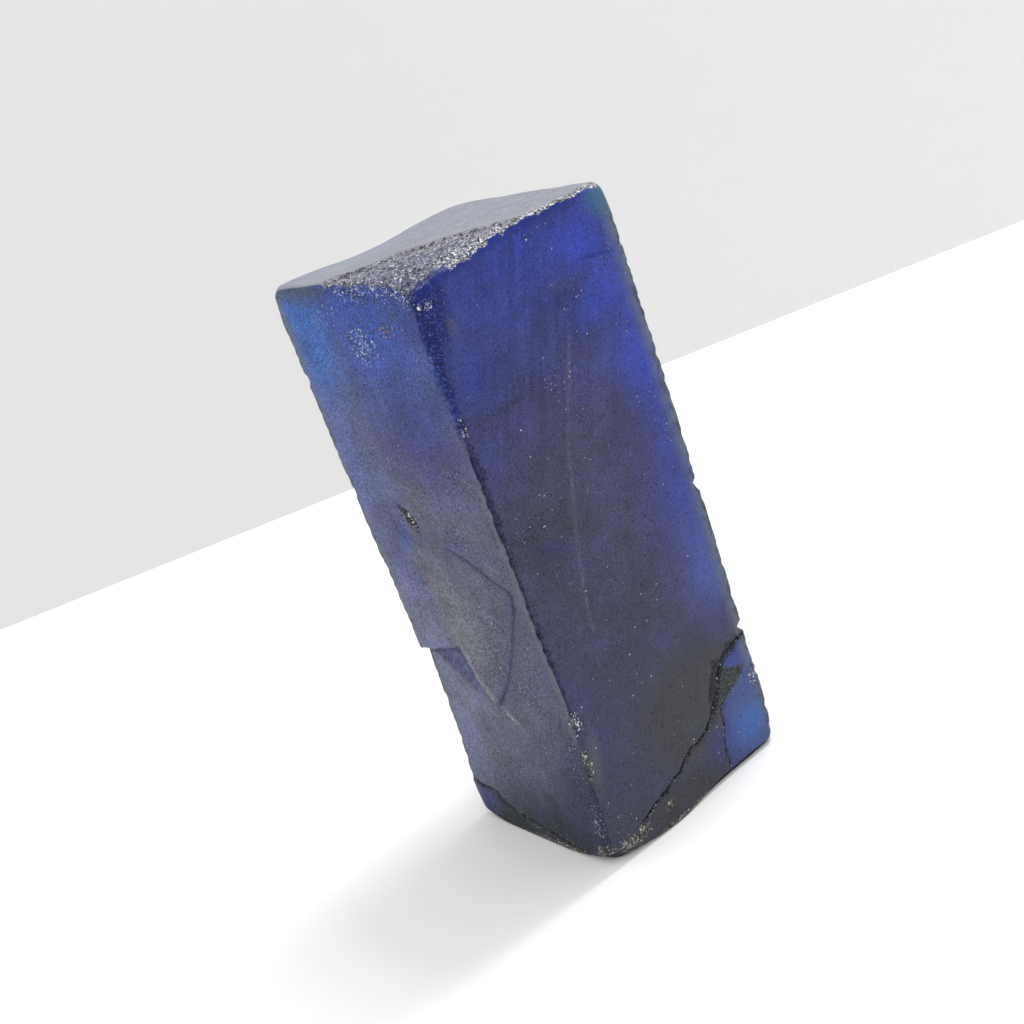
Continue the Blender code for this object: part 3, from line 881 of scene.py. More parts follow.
def lay_crack(ground, colour, gap, ends, half, spread):
    """A crack is a broken dotted line of dark dirt and painted shadow in its gap, with pale crumbs.
    """
    near = abs(gap)
    # Painted shade beside the crack and in its gap, together with its dirt.
    colour = tint(colour, COAL, near.step(spread, 0.0) * ends * 0.6)
    line = (ground.beads() * 0.75 + half - near).step(-0.02, 0.05) * ends
    colour = tint(colour, DARK, line * 0.95)
    crumbs = specks(ground.crumpled, CRACK_CELL, CRACK_SPECK, 0.45, 21.0)
    return tint(colour, GLINT, crumbs * near.step(spread, 0.08) * ends * 0.55)


# The sawn stone is dull, with a little shine, and its grain and pits stand in relief.
ROUGHNESS = 0.5
IOR = 1.5
SHINE = 0.2
RELIEF = 0.0001             # in metres


def finish_side(name, lay_colour):
    """One side's material, from a function that lays its colour on the ground."""
    material, tree, shader = new_material(name)
    ground = Ground(tree)
    colour = lay_colour(ground)
    tree.links.new(colour.socket, shader.inputs["Base Color"])
    shader.inputs["Roughness"].default_value = ROUGHNESS
    shader.inputs["IOR"].default_value = IOR
    shader.inputs["Specular IOR Level"].default_value = SHINE
    height = ground.grain * 0.6 + ground.mottle * 0.4
    height = height - specks(ground.crumpled, SAW_PIT_CELL, SAW_PIT, 0.4, 3.0)
    bump = height.node("Bump", {}, {"Height": height, "Distance": RELIEF, "Strength": 1.0})
    tree.links.new(bump.socket, shader.inputs["Normal"])
    stone_mesh.materials.append(material)


# The right face: ultramarine above, a cobalt band down its right arris, charcoal below.
# Its foot is cracked. A corner of brighter blue lies beyond two cracks, and the stone is
# crushed to a dark wedge where they meet.
PURPLE_GREY = (0.047, 0.047, 0.101)
CHARCOAL = (0.0416, 0.0432, 0.050)
DEEP_ULTRAMARINE = (0.001, 0.010, 0.145)
EDGE_BLUE = (0.055, 0.076, 0.260)
BRIGHT_COBALT = (0.024, 0.046, 0.340)
DEEP_AZURE = (0.055, 0.092, 0.225)
TEAL = (0.030, 0.108, 0.185)
WEDGE_OLIVE = (0.033, 0.038, 0.034)
BROWN_STREAK = (0.077, 0.077, 0.086)
FOOT_COBALT = (0.042, 0.056, 0.215)
AZURE = (0.035, 0.125, 0.420)
# Ovals of the body's greys and of the painted blue flash.
RIGHT_FLASH = (
    (PURPLE_GREY, (1.0, 38.0), (7.0, 13.0), 0.6),
    (DARK_SLATE, (-7.0, 33.0), (3.8, 4.5), 0.8),
    (SLATE_BLUE, (-9.0, 46.0), (9.0, 10.0), 0.9),
    (SLATE_BLUE, (-9.5, 17.0), (4.5, 9.0), 0.35),
    (COBALT, (12.5, 40.0), (11.5, 34.0), 0.55, 0.0, 0.95),
    (ULTRAMARINE, (1.0, 64.0), (27.0, 26.0), 1.0, 0.0, 0.95),
    (COBALT, (11.5, 48.0), (7.0, 20.0), 0.9, 0.0, 0.95),
    (COBALT, (11.5, 30.0), (6.5, 10.0), 0.6, 0.0, 0.95),
    (EDGE_BLUE, (10.8, 22.0), (6.0, 7.5), 0.9, 0.0, 0.95),
    (ULTRAMARINE, (-8.5, 50.5), (5.0, 4.5), 0.45),
    (CHARCOAL, (4.5, 9.0), (13.0, 8.5), 1.0, -14.0, 0.55),
    (COAL, (-2.0, 0.5), (9.0, 4.5), 0.9, 0.0, 0.6),
    (CHARCOAL, (-9.0, 2.5), (6.5, 5.0), 0.55),
)
RIGHT_DETAIL = (
    (BRIGHT_COBALT, (7.0, 57.0), (4.5, 3.6), 0.7),
    (BRIGHT_COBALT, (7.2, 55.9), (2.2, 0.9), 0.7, 12.0),
    (BRIGHT_COBALT, (7.0, 51.2), (5.5, 3.0), 0.6, 20.0),
    (PURPLE_GREY, (3.4, 53.6), (3.2, 1.3), 0.5, -12.0),
    (COBALT, (6.2, 28.0), (4.0, 7.0), 0.15),
    (BROWN_STREAK, (-10.1, 11.6), (1.1, 5.4), 0.7, -11.0),
    (BROWN_STREAK, (-8.8, 55.4), (0.9, 1.4), 0.35),
    (BRIGHT_COBALT, (9.5, 44.5), (3.4, 4.5), 0.45),
    (DEEP_ULTRAMARINE, (8.8, 54.9), (3.4, 0.45), 0.55, -11.0),
    (DEEP_ULTRAMARINE, (3.4, 53.0), (4.2, 1.4), 0.35, -14.0),
    (DARK_SLATE, (-6.0, 46.5), (6.0, 0.7), 0.5, 2.0),
    (COAL, (-7.6, 34.3), (5.0, 1.0), 0.5, -14.0),
    (SLATE_BLUE, (4.4, 4.3), (3.2, 3.0), 0.8, 30.0, 0.8),
)
AZURE_CORNER = (
    (DEEP_AZURE, (10.0, 4.5), (5.5, 6.5), 1.0),
    (AZURE, (9.5, 4.1), (4.0, 3.4), 0.6),
    (SLATE_BLUE, (6.5, 0.6), (3.2, 3.0), 0.8),
    (LAVENDER, (11.8, 9.5), (2.2, 4.0), 0.4),
)
# Ovals, as (middle, reach), where specks crowd, grains lie loose and crumbs stick.
RIGHT_CROWDS = (((11.5, 7.9), (1.1, 1.6)), ((-10.6, 15.9), (1.6, 2.4)), ((9.5, 56.5), (3.0, 4.0)),
                ((-8.5, 35.2), (4.0, 1.4)), ((0.0, 46.5), (4.5, 1.6)),
                ((-3.5, 2.3), (1.4, 1.0)), ((8.6, 8.9), (2.2, 1.8)), ((-10.0, 3.2), (2.2, 2.6)))
RIGHT_FOOT = (((-9.8, 1.2), (2.6, 1.5)), ((-7.5, 1.8), (1.1, 1.2)), ((-3.9, 2.4), (1.2, 0.7)),
              ((-11.3, 11.8), (1.2, 2.6)), ((-11.2, 16.3), (0.9, 1.2)), ((-2.0, 0.3), (6.0, 0.5)))
RIGHT_CRUMBS = (((-10.6, 57.9), (1.5, 0.8)), ((-11.3, 46.8), (0.9, 1.4)),
                ((11.3, 8.2), (1.0, 1.7)))
# The crushed wedge, the bites beside the front arris, and the smaller marks.
WEDGE_TOP = (-0.58, 15.95)  # the crushed wedge's upper side, as its slope and height at 0
WEDGE_TIP = (10.4, 10.7)    # beyond these the bright corner reaches up to the main crack
CRUSH_SPAN = (4.2, 5.4, 10.0, 11.6)         # along X: starts, full, full, ends
CRUSH_BULGE = (4.6, 6.0, 6.6, 8.2)
BITE_CROWD = ((-11.5, 41.0), (4.0, 7.0))
BITE_START = (15.0, 19.0)
BITE_END = (48.0, 46.5)
TEAL_CORNER = ((10.8, 59.5), (2.6, 2.8), 0.0, 0.95)
DOTTED_LINES = (((-7.0, 46.6), (5.6, 0.55), 1.0, 0.7), ((-9.2, 34.6), (2.7, 0.8), -28.0, 0.7))
FOOT_CLUSTER = ((-10.9, 16.2), (1.3, 2.0), 0.0, 0.6)
SAW = (-22.5, 16.0, 0.8, 3.0)               # its lines' lean, length, width and seat
FINE_SAW = (-21.0, 6.0, 0.3, 8.0)
WEDGE_LOW = ((5.2, 7.2), (6.0, 7.3), (6.8, 7.6), (7.7, 8.2), (8.9, 8.6), (9.8, 9.2), (10.9, 9.8))
SCRATCH = ((-5.4, 23.0), (-5.2, 25.4), (-4.8, 27.5), (-4.0, 31.1), (-3.3, 33.7), (-2.2, 37.1),
           (-1.4, 40.0), (0.0, 43.1), (1.1, 45.6), (2.8, 49.5))


def lay_cracked_foot(ground, colour, main, branch):
    """The brighter corner beyond the cracks, and the crushed wedge where they meet."""
    x, ragged = ground.x, ground.ragged
    wedge_gap, on_wedge = route_gap(x, ground.z, kinked(WEDGE_LOW, 0.35, 6.5))
    under = main[0].step(0.05, -0.1)
    beyond = branch[0].step(-0.06, 0.06).most(wedge_gap.step(-0.1, 0.1) * on_wedge)
    beyond = beyond.most(x.step(*WEDGE_TIP))
    soft_spot = sheet_spot(ground.soft_x, ground.soft_z)
    corner = lay_patches(ground.flat(FOOT_COBALT), soft_spot, AZURE_CORNER)
    colour = tint(colour, corner, under * beyond * 0.9)
    wedge_top = x * WEDGE_TOP[0] + WEDGE_TOP[1] + ragged * 3.0 - ground.z
    on_wedge = (wedge_gap + ragged * 0.6).step(-0.15, 0.2) * on_wedge
    wedge = under * on_wedge * wedge_top.step(-0.3, 0.3)
    crushed = ground.granular(WEDGE_OLIVE, 5.0, 0.9, 0.1)
    colour = tint(colour, crushed, wedge * 0.95)
    bulge = x.band(*CRUSH_BULGE)
    crush = (ragged * 2.4 + 0.8 + bulge * 1.6 - main[0]).step(-0.2, 0.5)
    start, full, fall, end = CRUSH_SPAN
    crush = crush * (main[0] + ragged).step(-0.9, -0.2) * x.step(start, full)
    crush = crush * main[1] * ground.grain.step(0.34, 0.48) * x.step(end, fall)
    return tint(colour, DARK, crush * 0.9)


def lay_saw_marks(ground, colour, spot):
    """Faint streaks from the saw, and one long pale scratch across the middle."""
    saw = streaks(spot, *SAW) - 0.5
    fine_saw = streaks(spot, *FINE_SAW) - 0.5
    share = ground.z.step(34.0, 50.0) * ground.x.step(11.0, 4.0) * 0.8 + 0.2
    colour = shaded(colour, (saw * 0.8 + fine_saw * 0.4) * share + 1.0)
    route = kinked(SCRATCH, 0.1, 9.5, lead=1)
    gap, ends = route_gap(ground.z, ground.x, route, lead=1)
    line = abs(gap).step(0.2, 0.03) * cloud(ground.place, 0.9).step(0.4, 0.62)
    line = (line + abs(gap).step(0.5, 0.05) * 0.35) * ends
    return tint(colour, RIM_GREY, line * 0.28)


def lay_navy_bites(ground, colour, spot):
    """Dark bites out of the front arris, down its right."""
    reach = patch(spot, *BITE_CROWD) * 0.3 + 0.45
    bites = reach + ground.ragged * 2.4 + ground.mark("scallop") * 0.5
    bites = (bites - ground.mark("front_gap")).step(-0.05, 0.2)
    bites = bites * ground.z.step(*BITE_START) * ground.z.step(*BITE_END)
    shade = ground.granular(NAVY, 9.0, 1.1, 0.1)
    return tint(colour, shade, bites * 0.85)


def lay_right(ground):
    """The whole colour of the right face."""
    x, z = ground.x, ground.z
    spot = sheet_spot(x, z)
    soft_spot = sheet_spot(ground.soft_x, ground.soft_z)
    colour = lay_patches(ground.flat(SLATE), soft_spot, RIGHT_FLASH)
    colour = lay_patches(colour, spot, RIGHT_DETAIL)
    main = route_gap(x, z, main_route)
    branch = route_gap(z, x, branch_route, lead=1)
    colour = lay_clouds(ground, colour, z.step(6.0, 22.0) * 0.6 + 0.2)
    colour = lay_cracked_foot(ground, colour, main, branch)
    colour = lay_saw_marks(ground, colour, spot)
    share = speck_share(ground, spot, RIGHT_CROWDS)
    contrast = z.step(6.0, 26.0) * 0.3 + 0.7 - x.step(4.0, 9.0) * 0.2
    colour = lay_specks(ground, colour, share, contrast)
    colour = lay_rim_glow_and_wear(ground, colour, RIM_SEA, z.step(6.0, 13.0) * 0.5 + 0.25)
    teal = patch(spot, *TEAL_CORNER)
    colour = tint(colour, TEAL, teal * (ground.grain.step(0.35, 0.6) * 0.5 + 0.45))
    colour = lay_navy_bites(ground, colour, spot)
    dotted = patch(spot, *DOTTED_LINES[0]).most(patch(spot, *DOTTED_LINES[1]))
    colour = tint(colour, NAVY, dotted * ground.grain.step(0.54, 0.4) * 0.75)
    colour = lay_crack(ground, colour, main[0] * 0.8, main[1], 0.14, 0.5)
    colour = lay_crack(ground, colour, branch[0], branch[1], 0.07, 0.3)
    colour = lay_foot_grains(ground, colour, crowds(spot, RIGHT_FOOT))
    colour = lay_strip(ground, colour, strip_zone(ground))
    cluster = patch(spot, *FOOT_CLUSTER) * 1.2
    colour = lay_crumbs(ground, colour, cluster.most(crowds(spot, RIGHT_CRUMBS)))
    rim_gap = ground.mark("rim_gap")
    under_rim = (rim_gap + ground.ragged * 1.8).step(1.3, 0.3) * x.step(10.0, 7.0)
    colour = tint(colour, DEEP_ULTRAMARINE, under_rim * 0.6)
    rim = (ground.ragged * 1.6 + 0.2 - rim_gap).step(-0.15, 0.15) * x.step(-8.5, -6.0)
    return lay_breakage(ground, colour, x * 0.0, rim)


# The left face: azure above, paler and greyer down its middle, dark towards the foot.
# A flake has left a scar low on it: a ledge with painted shadow under it, a streaky blue
# hollow under the ledge darkened with painted shade, and a pale ridge beside the hollow
# with a painted highlight.
LEFT_COBALT = (0.030, 0.070, 0.330)
WARM_GREY = (0.088, 0.092, 0.146)
GREY_GREEN = (0.120, 0.128, 0.150)
PALE_OLIVE = (0.160, 0.162, 0.172)
BLUE_LAVENDER = (0.088, 0.112, 0.290)
FRONT_GREY = (0.066, 0.072, 0.120)
FOOT_OLIVE = (0.015, 0.020, 0.023)
FOOT_BLACK = (0.008, 0.012, 0.016)
HOLLOW_SHADE_BLUE = (0.024, 0.036, 0.120)
LEDGE_SHADOW = (0.012, 0.022, 0.100)
RIDGE_GREY = (0.19, 0.195, 0.21)
CYAN_GLINT = (0.40, 0.60, 0.72)
SEA_GREEN = (0.02, 0.045, 0.12)
RUST = (0.30, 0.19, 0.16)
# Ovals of the body's greys and of the painted blue flash.
LEFT_FLASH = (
    (FRONT_GREY, (-11.0, 24.0), (7.0, 24.0), 0.85),
    (GREY_GREEN, (0.5, 27.0), (4.6, 9.0), 0.9, -36.0, 0.8),
    (LAVENDER, (10.0, 19.0), (10.0, 21.0), 1.0),
    (BLUE_LAVENDER, (9.5, 42.0), (9.0, 14.0), 0.95),
    (LAVENDER, (9.8, 25.0), (4.0, 9.0), 0.7),
    (RIDGE_GREY, (7.0, 18.0), (7.0, 13.0), 0.22, 0.0, 0.95),
    (VIOLET, (-5.0, 46.0), (12.0, 10.0), 0.85),
    (VIOLET, (-3.5, 34.5), (6.0, 3.5), 0.3),
    (LEFT_COBALT, (-3.0, 60.0), (19.0, 19.0), 1.0, 0.0, 0.95),
    (AZURE, (9.0, 57.0), (8.0, 12.0), 0.95),
    (ULTRAMARINE, (-13.0, 57.5), (7.0, 8.0), 0.7),
    (LEFT_COBALT, (-3.0, 53.5), (8.0, 4.5), 0.5),
    (LAVENDER, (11.6, 56.0), (2.4, 7.0), 0.6),
    (RIDGE_GREY, (11.4, 29.0), (2.2, 10.0), 0.5),
    (LEFT_COBALT, (5.4, 34.6), (2.2, 3.2), 0.55, 0.0, 0.85),
    (LEFT_COBALT, (6.4, 31.0), (2.2, 4.5), 0.3),
    (FOOT_SLATE, (-11.5, 8.0), (10.0, 10.5), 0.8),
    (NAVY, (-10.3, 13.0), (1.7, 2.6), 0.3),
    (FOOT_SLATE, (-5.0, -1.0), (18.0, 13.0), 0.95, 0.0, 0.85),
    (FOOT_OLIVE, (-1.0, -1.0), (15.0, 9.0), 0.9),
    (FOOT_OLIVE, (-11.8, 4.5), (2.6, 6.5), 0.5),
    (PALE_OLIVE, (1.6, 24.0), (3.4, 5.5), 0.55, -36.0),
    (LEFT_COBALT, (-10.4, 50.0), (2.4, 4.5), 0.45),
)
# Ovals, as (middle, reach), where specks crowd and grains lie loose.
LEFT_CROWDS = (((-1.2, 54.6), (3.0, 2.3)), ((-5.9, 56.2), (2.4, 1.5)),
               ((-4.6, 35.6), (2.8, 1.8)), ((-4.8, 26.0), (3.4, 1.2)),
               ((-8.0, 41.5), (3.0, 2.2)), ((-4.4, 12.5), (1.8, 1.4)),
               ((-5.5, 21.5), (5.5, 8.0)), ((-8.5, 10.0), (3.5, 4.5)), ((3.4, 37.8), (1.5, 1.7)),
               ((-10.9, 6.0), (1.6, 3.2)), ((-10.3, 13.4), (1.4, 2.0)), ((-4.0, 59.5), (7.0, 1.6)),
               ((0.0, 0.6), (13.0, 1.4)))
LEFT_FOOT = (((-10.4, 1.4), (2.2, 1.5)), ((-11.6, 11.6), (0.6, 2.4)), ((-11.5, 16.3), (0.8, 1.1)),
             ((-4.0, 0.3), (8.0, 0.7)))
LEFT_GLITTER = (((-10.6, 5.5), (2.3, 4.0)), ((-10.4, 13.6), (1.6, 2.2)))
# The scar's tip, hollow and ledge, and the smaller marks.
SCAR_TIP = ((-1.2, 15.0), (1.5, 0.3), 44.0, 0.6)
HOLLOW_LOW = (0.604, 14.56)         # the hollow's lower side: its slope, and height at 0
LEDGE_TOP = (0.189, 22.45)          # the ledge's upper side: its fall, and height at 0
HOLLOW_LINES = (50.0, 2.2, 0.3, 7.0)
CYAN_CROWD = ((-1.2, 54.8), (4.2, 3.6))
RIM_CYAN = ((3.0, 57.8), (8.5, 3.0))
CYAN_CRYSTAL = 0.16
RUST_CROWD = ((-5.9, 56.2), (1.9, 1.2), 0.0, 0.6)
RUST_CELL = 0.45
RUST_SPECK = 0.14
RUST_SHADOW_CELL = 0.4
RUST_SHADOW = 0.16
PIT_CROWD = ((2.6, 36.9), (1.3, 2.2), -36.0, 0.8)
PIT_CRYSTAL = 0.19
PIT_GRAINS = ((0.0, (0.003, 0.003, 0.006)), (0.45, (0.02, 0.018, 0.03)),
              (0.62, (0.13, 0.10, 0.08)), (0.8, (0.1, 0.11, 0.15)), (0.95, (0.55, 0.57, 0.6)))
NAVY_DASH = ((-9.6, 15.9), (0.3, 1.2), 32.0, 0.8)
UNDER_CRACK = ((VIOLET, (9.0, 3.0), (4.0, 3.0), 0.8), (DARK_SLATE, (-3.5, 0.2), (6.0, 1.2), 0.6))
HOLLOW_EDGE = ((1.2, 16.6), (1.5, 17.6), (2.1, 19.2), (2.5, 20.6), (3.0, 22.3))
RIDGE = ((-1.9, 14.4), (-0.7, 15.6), (0.6, 17.0), (1.5, 18.6), (2.2, 20.3), (2.6, 22.4))
LEFT_SCRATCHES = ((-63.0, 3.5, 0.16, 2.0, 0.5), (-28.0, 5.0, 0.18, 6.0, 0.4),
                  (12.0, 6.0, 0.2, 11.0, 0.35), (55.0, 3.0, 0.15, 15.0, 0.25))
NAVY_LINE = ((3.1, 31.9), (4.0, 33.2), (5.3, 35.0), (6.0, 36.2))
PALE_CURVES = (((-3.6, 39.1), (-0.6, 40.1), (3.0, 40.3)),
               ((-10.7, 41.1), (-8.2, 42.0), (-5.9, 43.2)))


def up_route(ground, route, sway, seat):
    """Signed gap to a kinked route that runs up the left face."""
    return route_gap(ground.z, ground.y, kinked(route, sway, seat, lead=1), lead=1)


def lay_scar(ground, colour, spot):
    """The ledge's painted shadow, the streaky hollow under it in painted shade, and the pale ridge
    beside that with a painted highlight.
    """
    y, ragged = ground.y, ground.ragged
    gap, ends = up_route(ground, RIDGE, 0.2, 7.5)
    ridge = (gap + ragged * 0.8).step(-1.5, -0.6) * gap.step(0.15, -0.2) * ends
    # The pale ridge, brightened with a painted highlight along its raised edge.
    colour = tint(colour, RIDGE_GREY, ridge * 0.7)
    tip = patch(spot, *SCAR_TIP) * ground.grain.step(0.4, 0.6)
    colour = tint(colour, GLINT, tip * 0.45)
    gap, ends = up_route(ground, HOLLOW_EDGE, 0.2, 5.5)
    low = ground.z - (y * HOLLOW_LOW[0] + HOLLOW_LOW[1] + ragged * 1.5)
    hollow = gap.step(-0.15, 0.2) * ends * low.step(-0.5, 0.5) * y.step(11.6, 10.4)
    under = ragged * 0.3 + LEDGE_TOP[1] - y * LEDGE_TOP[0] - ground.z
    hollow = hollow * under.step(-0.2, 0.0)
    lines = streaks(spot, *HOLLOW_LINES).step(0.4, 0.66)
    # The hollow is painted dark blue for the shade under the ledge, with the stone's lavender
    # streaks over it.
    colour = tint(colour, tint(ground.flat(HOLLOW_SHADE_BLUE), LAVENDER, lines * 0.5), hollow * 0.95)
    # Painted shadow along the hollow's edge by the ridge.
    edge = abs(gap - 0.15).step(0.5, 0.1) * ends * low.step(-0.4, 0.2)
    colour = tint(colour, NAVY, edge * 0.5)
    # Painted shadow: a band just under the ledge, where the overhang shades the hollow's floor.
    ledge = under.band(-0.1, 0.1, 0.35, 0.75)
    return tint(colour, LEDGE_SHADOW, ledge * y.step(2.4, 3.4) * 0.9)


def lay_scratches(ground, colour, spot):
    """Pale and dark scratches in several directions, in patches."""
    clusters = ground.clusters()
    for lean, length, width, seat, amount in LEFT_SCRATCHES:
        lines = streaks(spot, lean, length, width, seat).step(0.58, 0.74)
        colour = tint(colour, RIM_GREY, lines * clusters.step(0.45, 0.65) * amount * 0.7)
        lines = streaks(spot, lean + 4.0, length, width, seat + 31.0).step(0.6, 0.74)
        colour = tint(colour, NAVY, lines * clusters.step(0.55, 0.35) * amount * 0.45)
    gap, ends = up_route(ground, NAVY_LINE, 0.15, 8.5)
    colour = tint(colour, NAVY, abs(gap).step(0.22, 0.04) * ends * 0.5)
    for route in PALE_CURVES:
        gap, ends = route_gap(ground.y, ground.z, kinked(route, 0.1, 2.2))
        colour = tint(colour, RIM_GREY, abs(gap).step(0.18, 0.04) * ends * 0.35)
    return colour


def lay_coloured_specks(ground, colour, spot):
    """Two crowds of specks under the corner: cyan ones, and a few rusty ones."""
    cyan = patch(spot, *CYAN_CROWD) * 0.29
    cyan = cyan.most(patch(spot, *RIM_CYAN) * 0.15) + ground.ragged * 0.3
    cells = random_cells(ground.crumpled, CYAN_CRYSTAL)
    colour = tint(colour, NAVY, (cyan - cells).step(0.04, 0.12) * 0.7)
    colour = tint(colour, CYAN_GLINT, (cells + cyan).step(1.07, 1.22) * 0.85)
    rusty = patch(spot, *RUST_CROWD) * 0.8
    shadow = specks(ground.crumpled, RUST_SHADOW_CELL, RUST_SHADOW, rusty, 29.0)
    colour = tint(colour, NAVY, shadow * 0.7)
    rust = specks(ground.crumpled, RUST_CELL, RUST_SPECK, rusty, 23.0)
    return tint(colour, RUST, rust * 0.8)


def lay_pits(ground, colour, spot):
    """The pit cluster, with black, brown and white grains in it."""
    shade = ramp(random_cells(ground.crumpled, PIT_CRYSTAL), PIT_GRAINS)
    pitted = patch(spot, *PIT_CROWD) + ground.ragged * 1.4
    return tint(colour, shade, pitted.step(0.3, 0.7) * 0.9)


def lay_left(ground):
    """The whole colour of the left face."""
    y, z, ragged = ground.y, ground.z, ground.ragged
    spot = sheet_spot(y, z)
    colour = lay_patches(ground.flat(WARM_GREY), sheet_spot(ground.soft_y, ground.soft_z),
                         LEFT_FLASH)
    base = route_gap(y, z, base_route)
    below = base[0].step(0.1, -0.25) * y.step(-9.0, -5.0)
    under = lay_patches(ground.flat(FOOT_BLACK), spot, UNDER_CRACK)
    under = tint(under, OLIVE_GREY, (ground.grain + ragged * 0.3).step(0.52, 0.68) * 0.22)
    colour = lay_clouds(ground, colour, z * 0.0 + 1.0)
    colour = tint(colour, under, below * 0.95)
    colour = lay_scar(ground, colour, spot)
    colour = lay_scratches(ground, colour, spot)
    colour = lay_specks(ground, colour, speck_share(ground, spot, LEFT_CROWDS), 1.5)
    shade = (ground.mottle + ragged * 0.5).step(0.5, 0.72) * z.step(53.0, 58.0)
    colour = tint(colour, SEA_GREEN, shade * 0.55)
    colour = lay_coloured_specks(ground, colour, spot)
    colour = lay_rim_glow_and_wear(ground, colour, RIM_GREY, 0.55)
    rim_gap = ground.mark("rim_gap")
    band = (rim_gap + ragged * 2.4).step(2.0, 0.4) * y.step(0.0, 6.0)
    shade = ground.granular(OLIVE_DARK, 6.0, 1.3, 0.2)
    colour = tint(colour, shade, band * 0.65)
    scuff = (ground.mark("front_gap") + ragged * 0.7).step(1.0, 0.35)
    scuff = scuff * z.step(47.0, 40.0) * z.step(10.0, 20.0)
    colour = tint(colour, RIM_GREY, scuff * 0.45)
    gap, ends = route_gap(z, y, left_route, lead=1)
    near = abs(gap * 0.8)
    strong = z.step(26.0, 29.0).most(z.step(19.5, 17.5)) * 0.35 + 0.65
    halo = (near + ragged * 0.9).step(1.1, 0.1) * ends * strong
    colour = tint(colour, SLATE_BLUE, halo * 0.45)
    line = (ground.beads() * 0.8 + 0.22 - near).step(-0.04, 0.1) * ends * strong
    colour = tint(colour, NAVY, line * 0.9)
    colour = lay_crack(ground, colour, base[0] * 0.9, base[1], 0.1, 0.8)
    colour = lay_pits(ground, colour, spot)
    dash = patch(spot, *NAVY_DASH) * ground.grain.step(0.35, 0.5)
    colour = tint(colour, NAVY, dash * 0.8)
    colour = lay_foot_grains(ground, colour, crowds(spot, LEFT_FOOT))
    colour = lay_strip(ground, colour, strip_zone(ground))
    chip = side_chip(ground, 0.1) * y.step(-9.5, -7.0)
    # Crumbs under the corner and low on the face, with painted glitter in their white specks.
    below = (ground.mark("rim_gap") + ragged * 3.0).step(3.2, 0.2) * y.step(4.0, 0.0)
    low_glitter = crowds(spot, LEFT_GLITTER, 0.75)
    colour = lay_crumbs(ground, colour, below.most(low_glitter * 0.65))
    return lay_breakage(ground, colour, chip, chip * 0.4)


# The top: pale with sawing dust and with a painted sheen of light glancing off it, warmer by the
# broken corner and bluer at the rear.
TOP_GREY = (0.215, 0.228, 0.272)
TOP_PALE = (0.27, 0.29, 0.32)
TOP_LILAC = (0.200, 0.212, 0.290)
TOP_BLUE = (0.190, 0.232, 0.320)
TOP_RIM = (0.165, 0.205, 0.235)
# Ovals of the top's pale greys and of its painted blue flash.
TOP_FLASH = ((TOP_PALE, (-7.0, 7.0), (7.0, 5.0), 0.5), (TOP_BLUE, (-3.0, 11.0), (12.0, 5.0), 0.6),
             (TOP_LILAC, (1.5, 6.5), (6.5, 3.5), 0.6))
TOP_SAW = (74.0, 12.0, 0.4, 4.0)
TOP_DARK_FLECK = 0.27
TOP_PALE_FLECK = 0.24


def lay_top(ground):
    """The whole colour of the sawn top and its broken corner."""
    x, ragged, mottle = ground.x, ground.ragged, ground.mottle
    soft_spot = sheet_spot(ground.soft_x, ground.soft_y)
    # Painted sheen: the pale greys stand for the sawing dust and for light glancing off the top.
    colour = lay_patches(ground.flat(TOP_GREY), soft_spot, TOP_FLASH)
    chip_gap = ground.mark("chip")
    colour = tint(colour, DUSTY_GREY, (chip_gap + ragged).step(-3.5, -1.0) * 0.7)
    saw = streaks(sheet_spot(x, ground.y), *TOP_SAW) - 0.5
    grain = ground.grit * 1.1 + (mottle - 0.5) * 0.4
    colour = shaded(colour, saw * 0.5 + grain + 1.0)
    dark = flecks(ground.place, TOP_DARK_FLECK, 0.76, mottle * 0.3)
    colour = tint(colour, SLATE, dark * 0.4)
    pale = flecks(moved(ground.place, (3.0, 8.0, 1.0)), TOP_PALE_FLECK, 0.68, mottle)
    colour = tint(colour, WHITE_GRAIN, pale * x.step(-4.0, 3.0) * 0.3)
    colour = tint(colour, TOP_RIM, ground.mark("outer_gap").step(1.2, 0.2) * 0.6)
    chip = (chip_gap + ragged * 1.2).step(-0.2, 0.2)
    crumbs = (ragged * 1.6 + 0.7 - ground.mark("right_edge")).step(-0.15, 0.15)
    colour = lay_breakage(ground, colour, chip, crumbs)
    low = (ragged * 1.8 + 0.8 - ground.mark("right_edge")).step(-0.05, 0.2)
    return lay_strip(ground, colour, low * x.step(-6.4, -7.2))


# The two sides behind: the same sawn stone with the same flash, in a cloudier pattern. A
# crack runs on across the foot of one of them.
FLASH_SWAY = (6.0, 3.0)
FLASH_CLOUD = 17.0
PALE_CLOUD = 9.0
BEHIND_SAW = (20.0, 14.0, 0.5, 5.0)


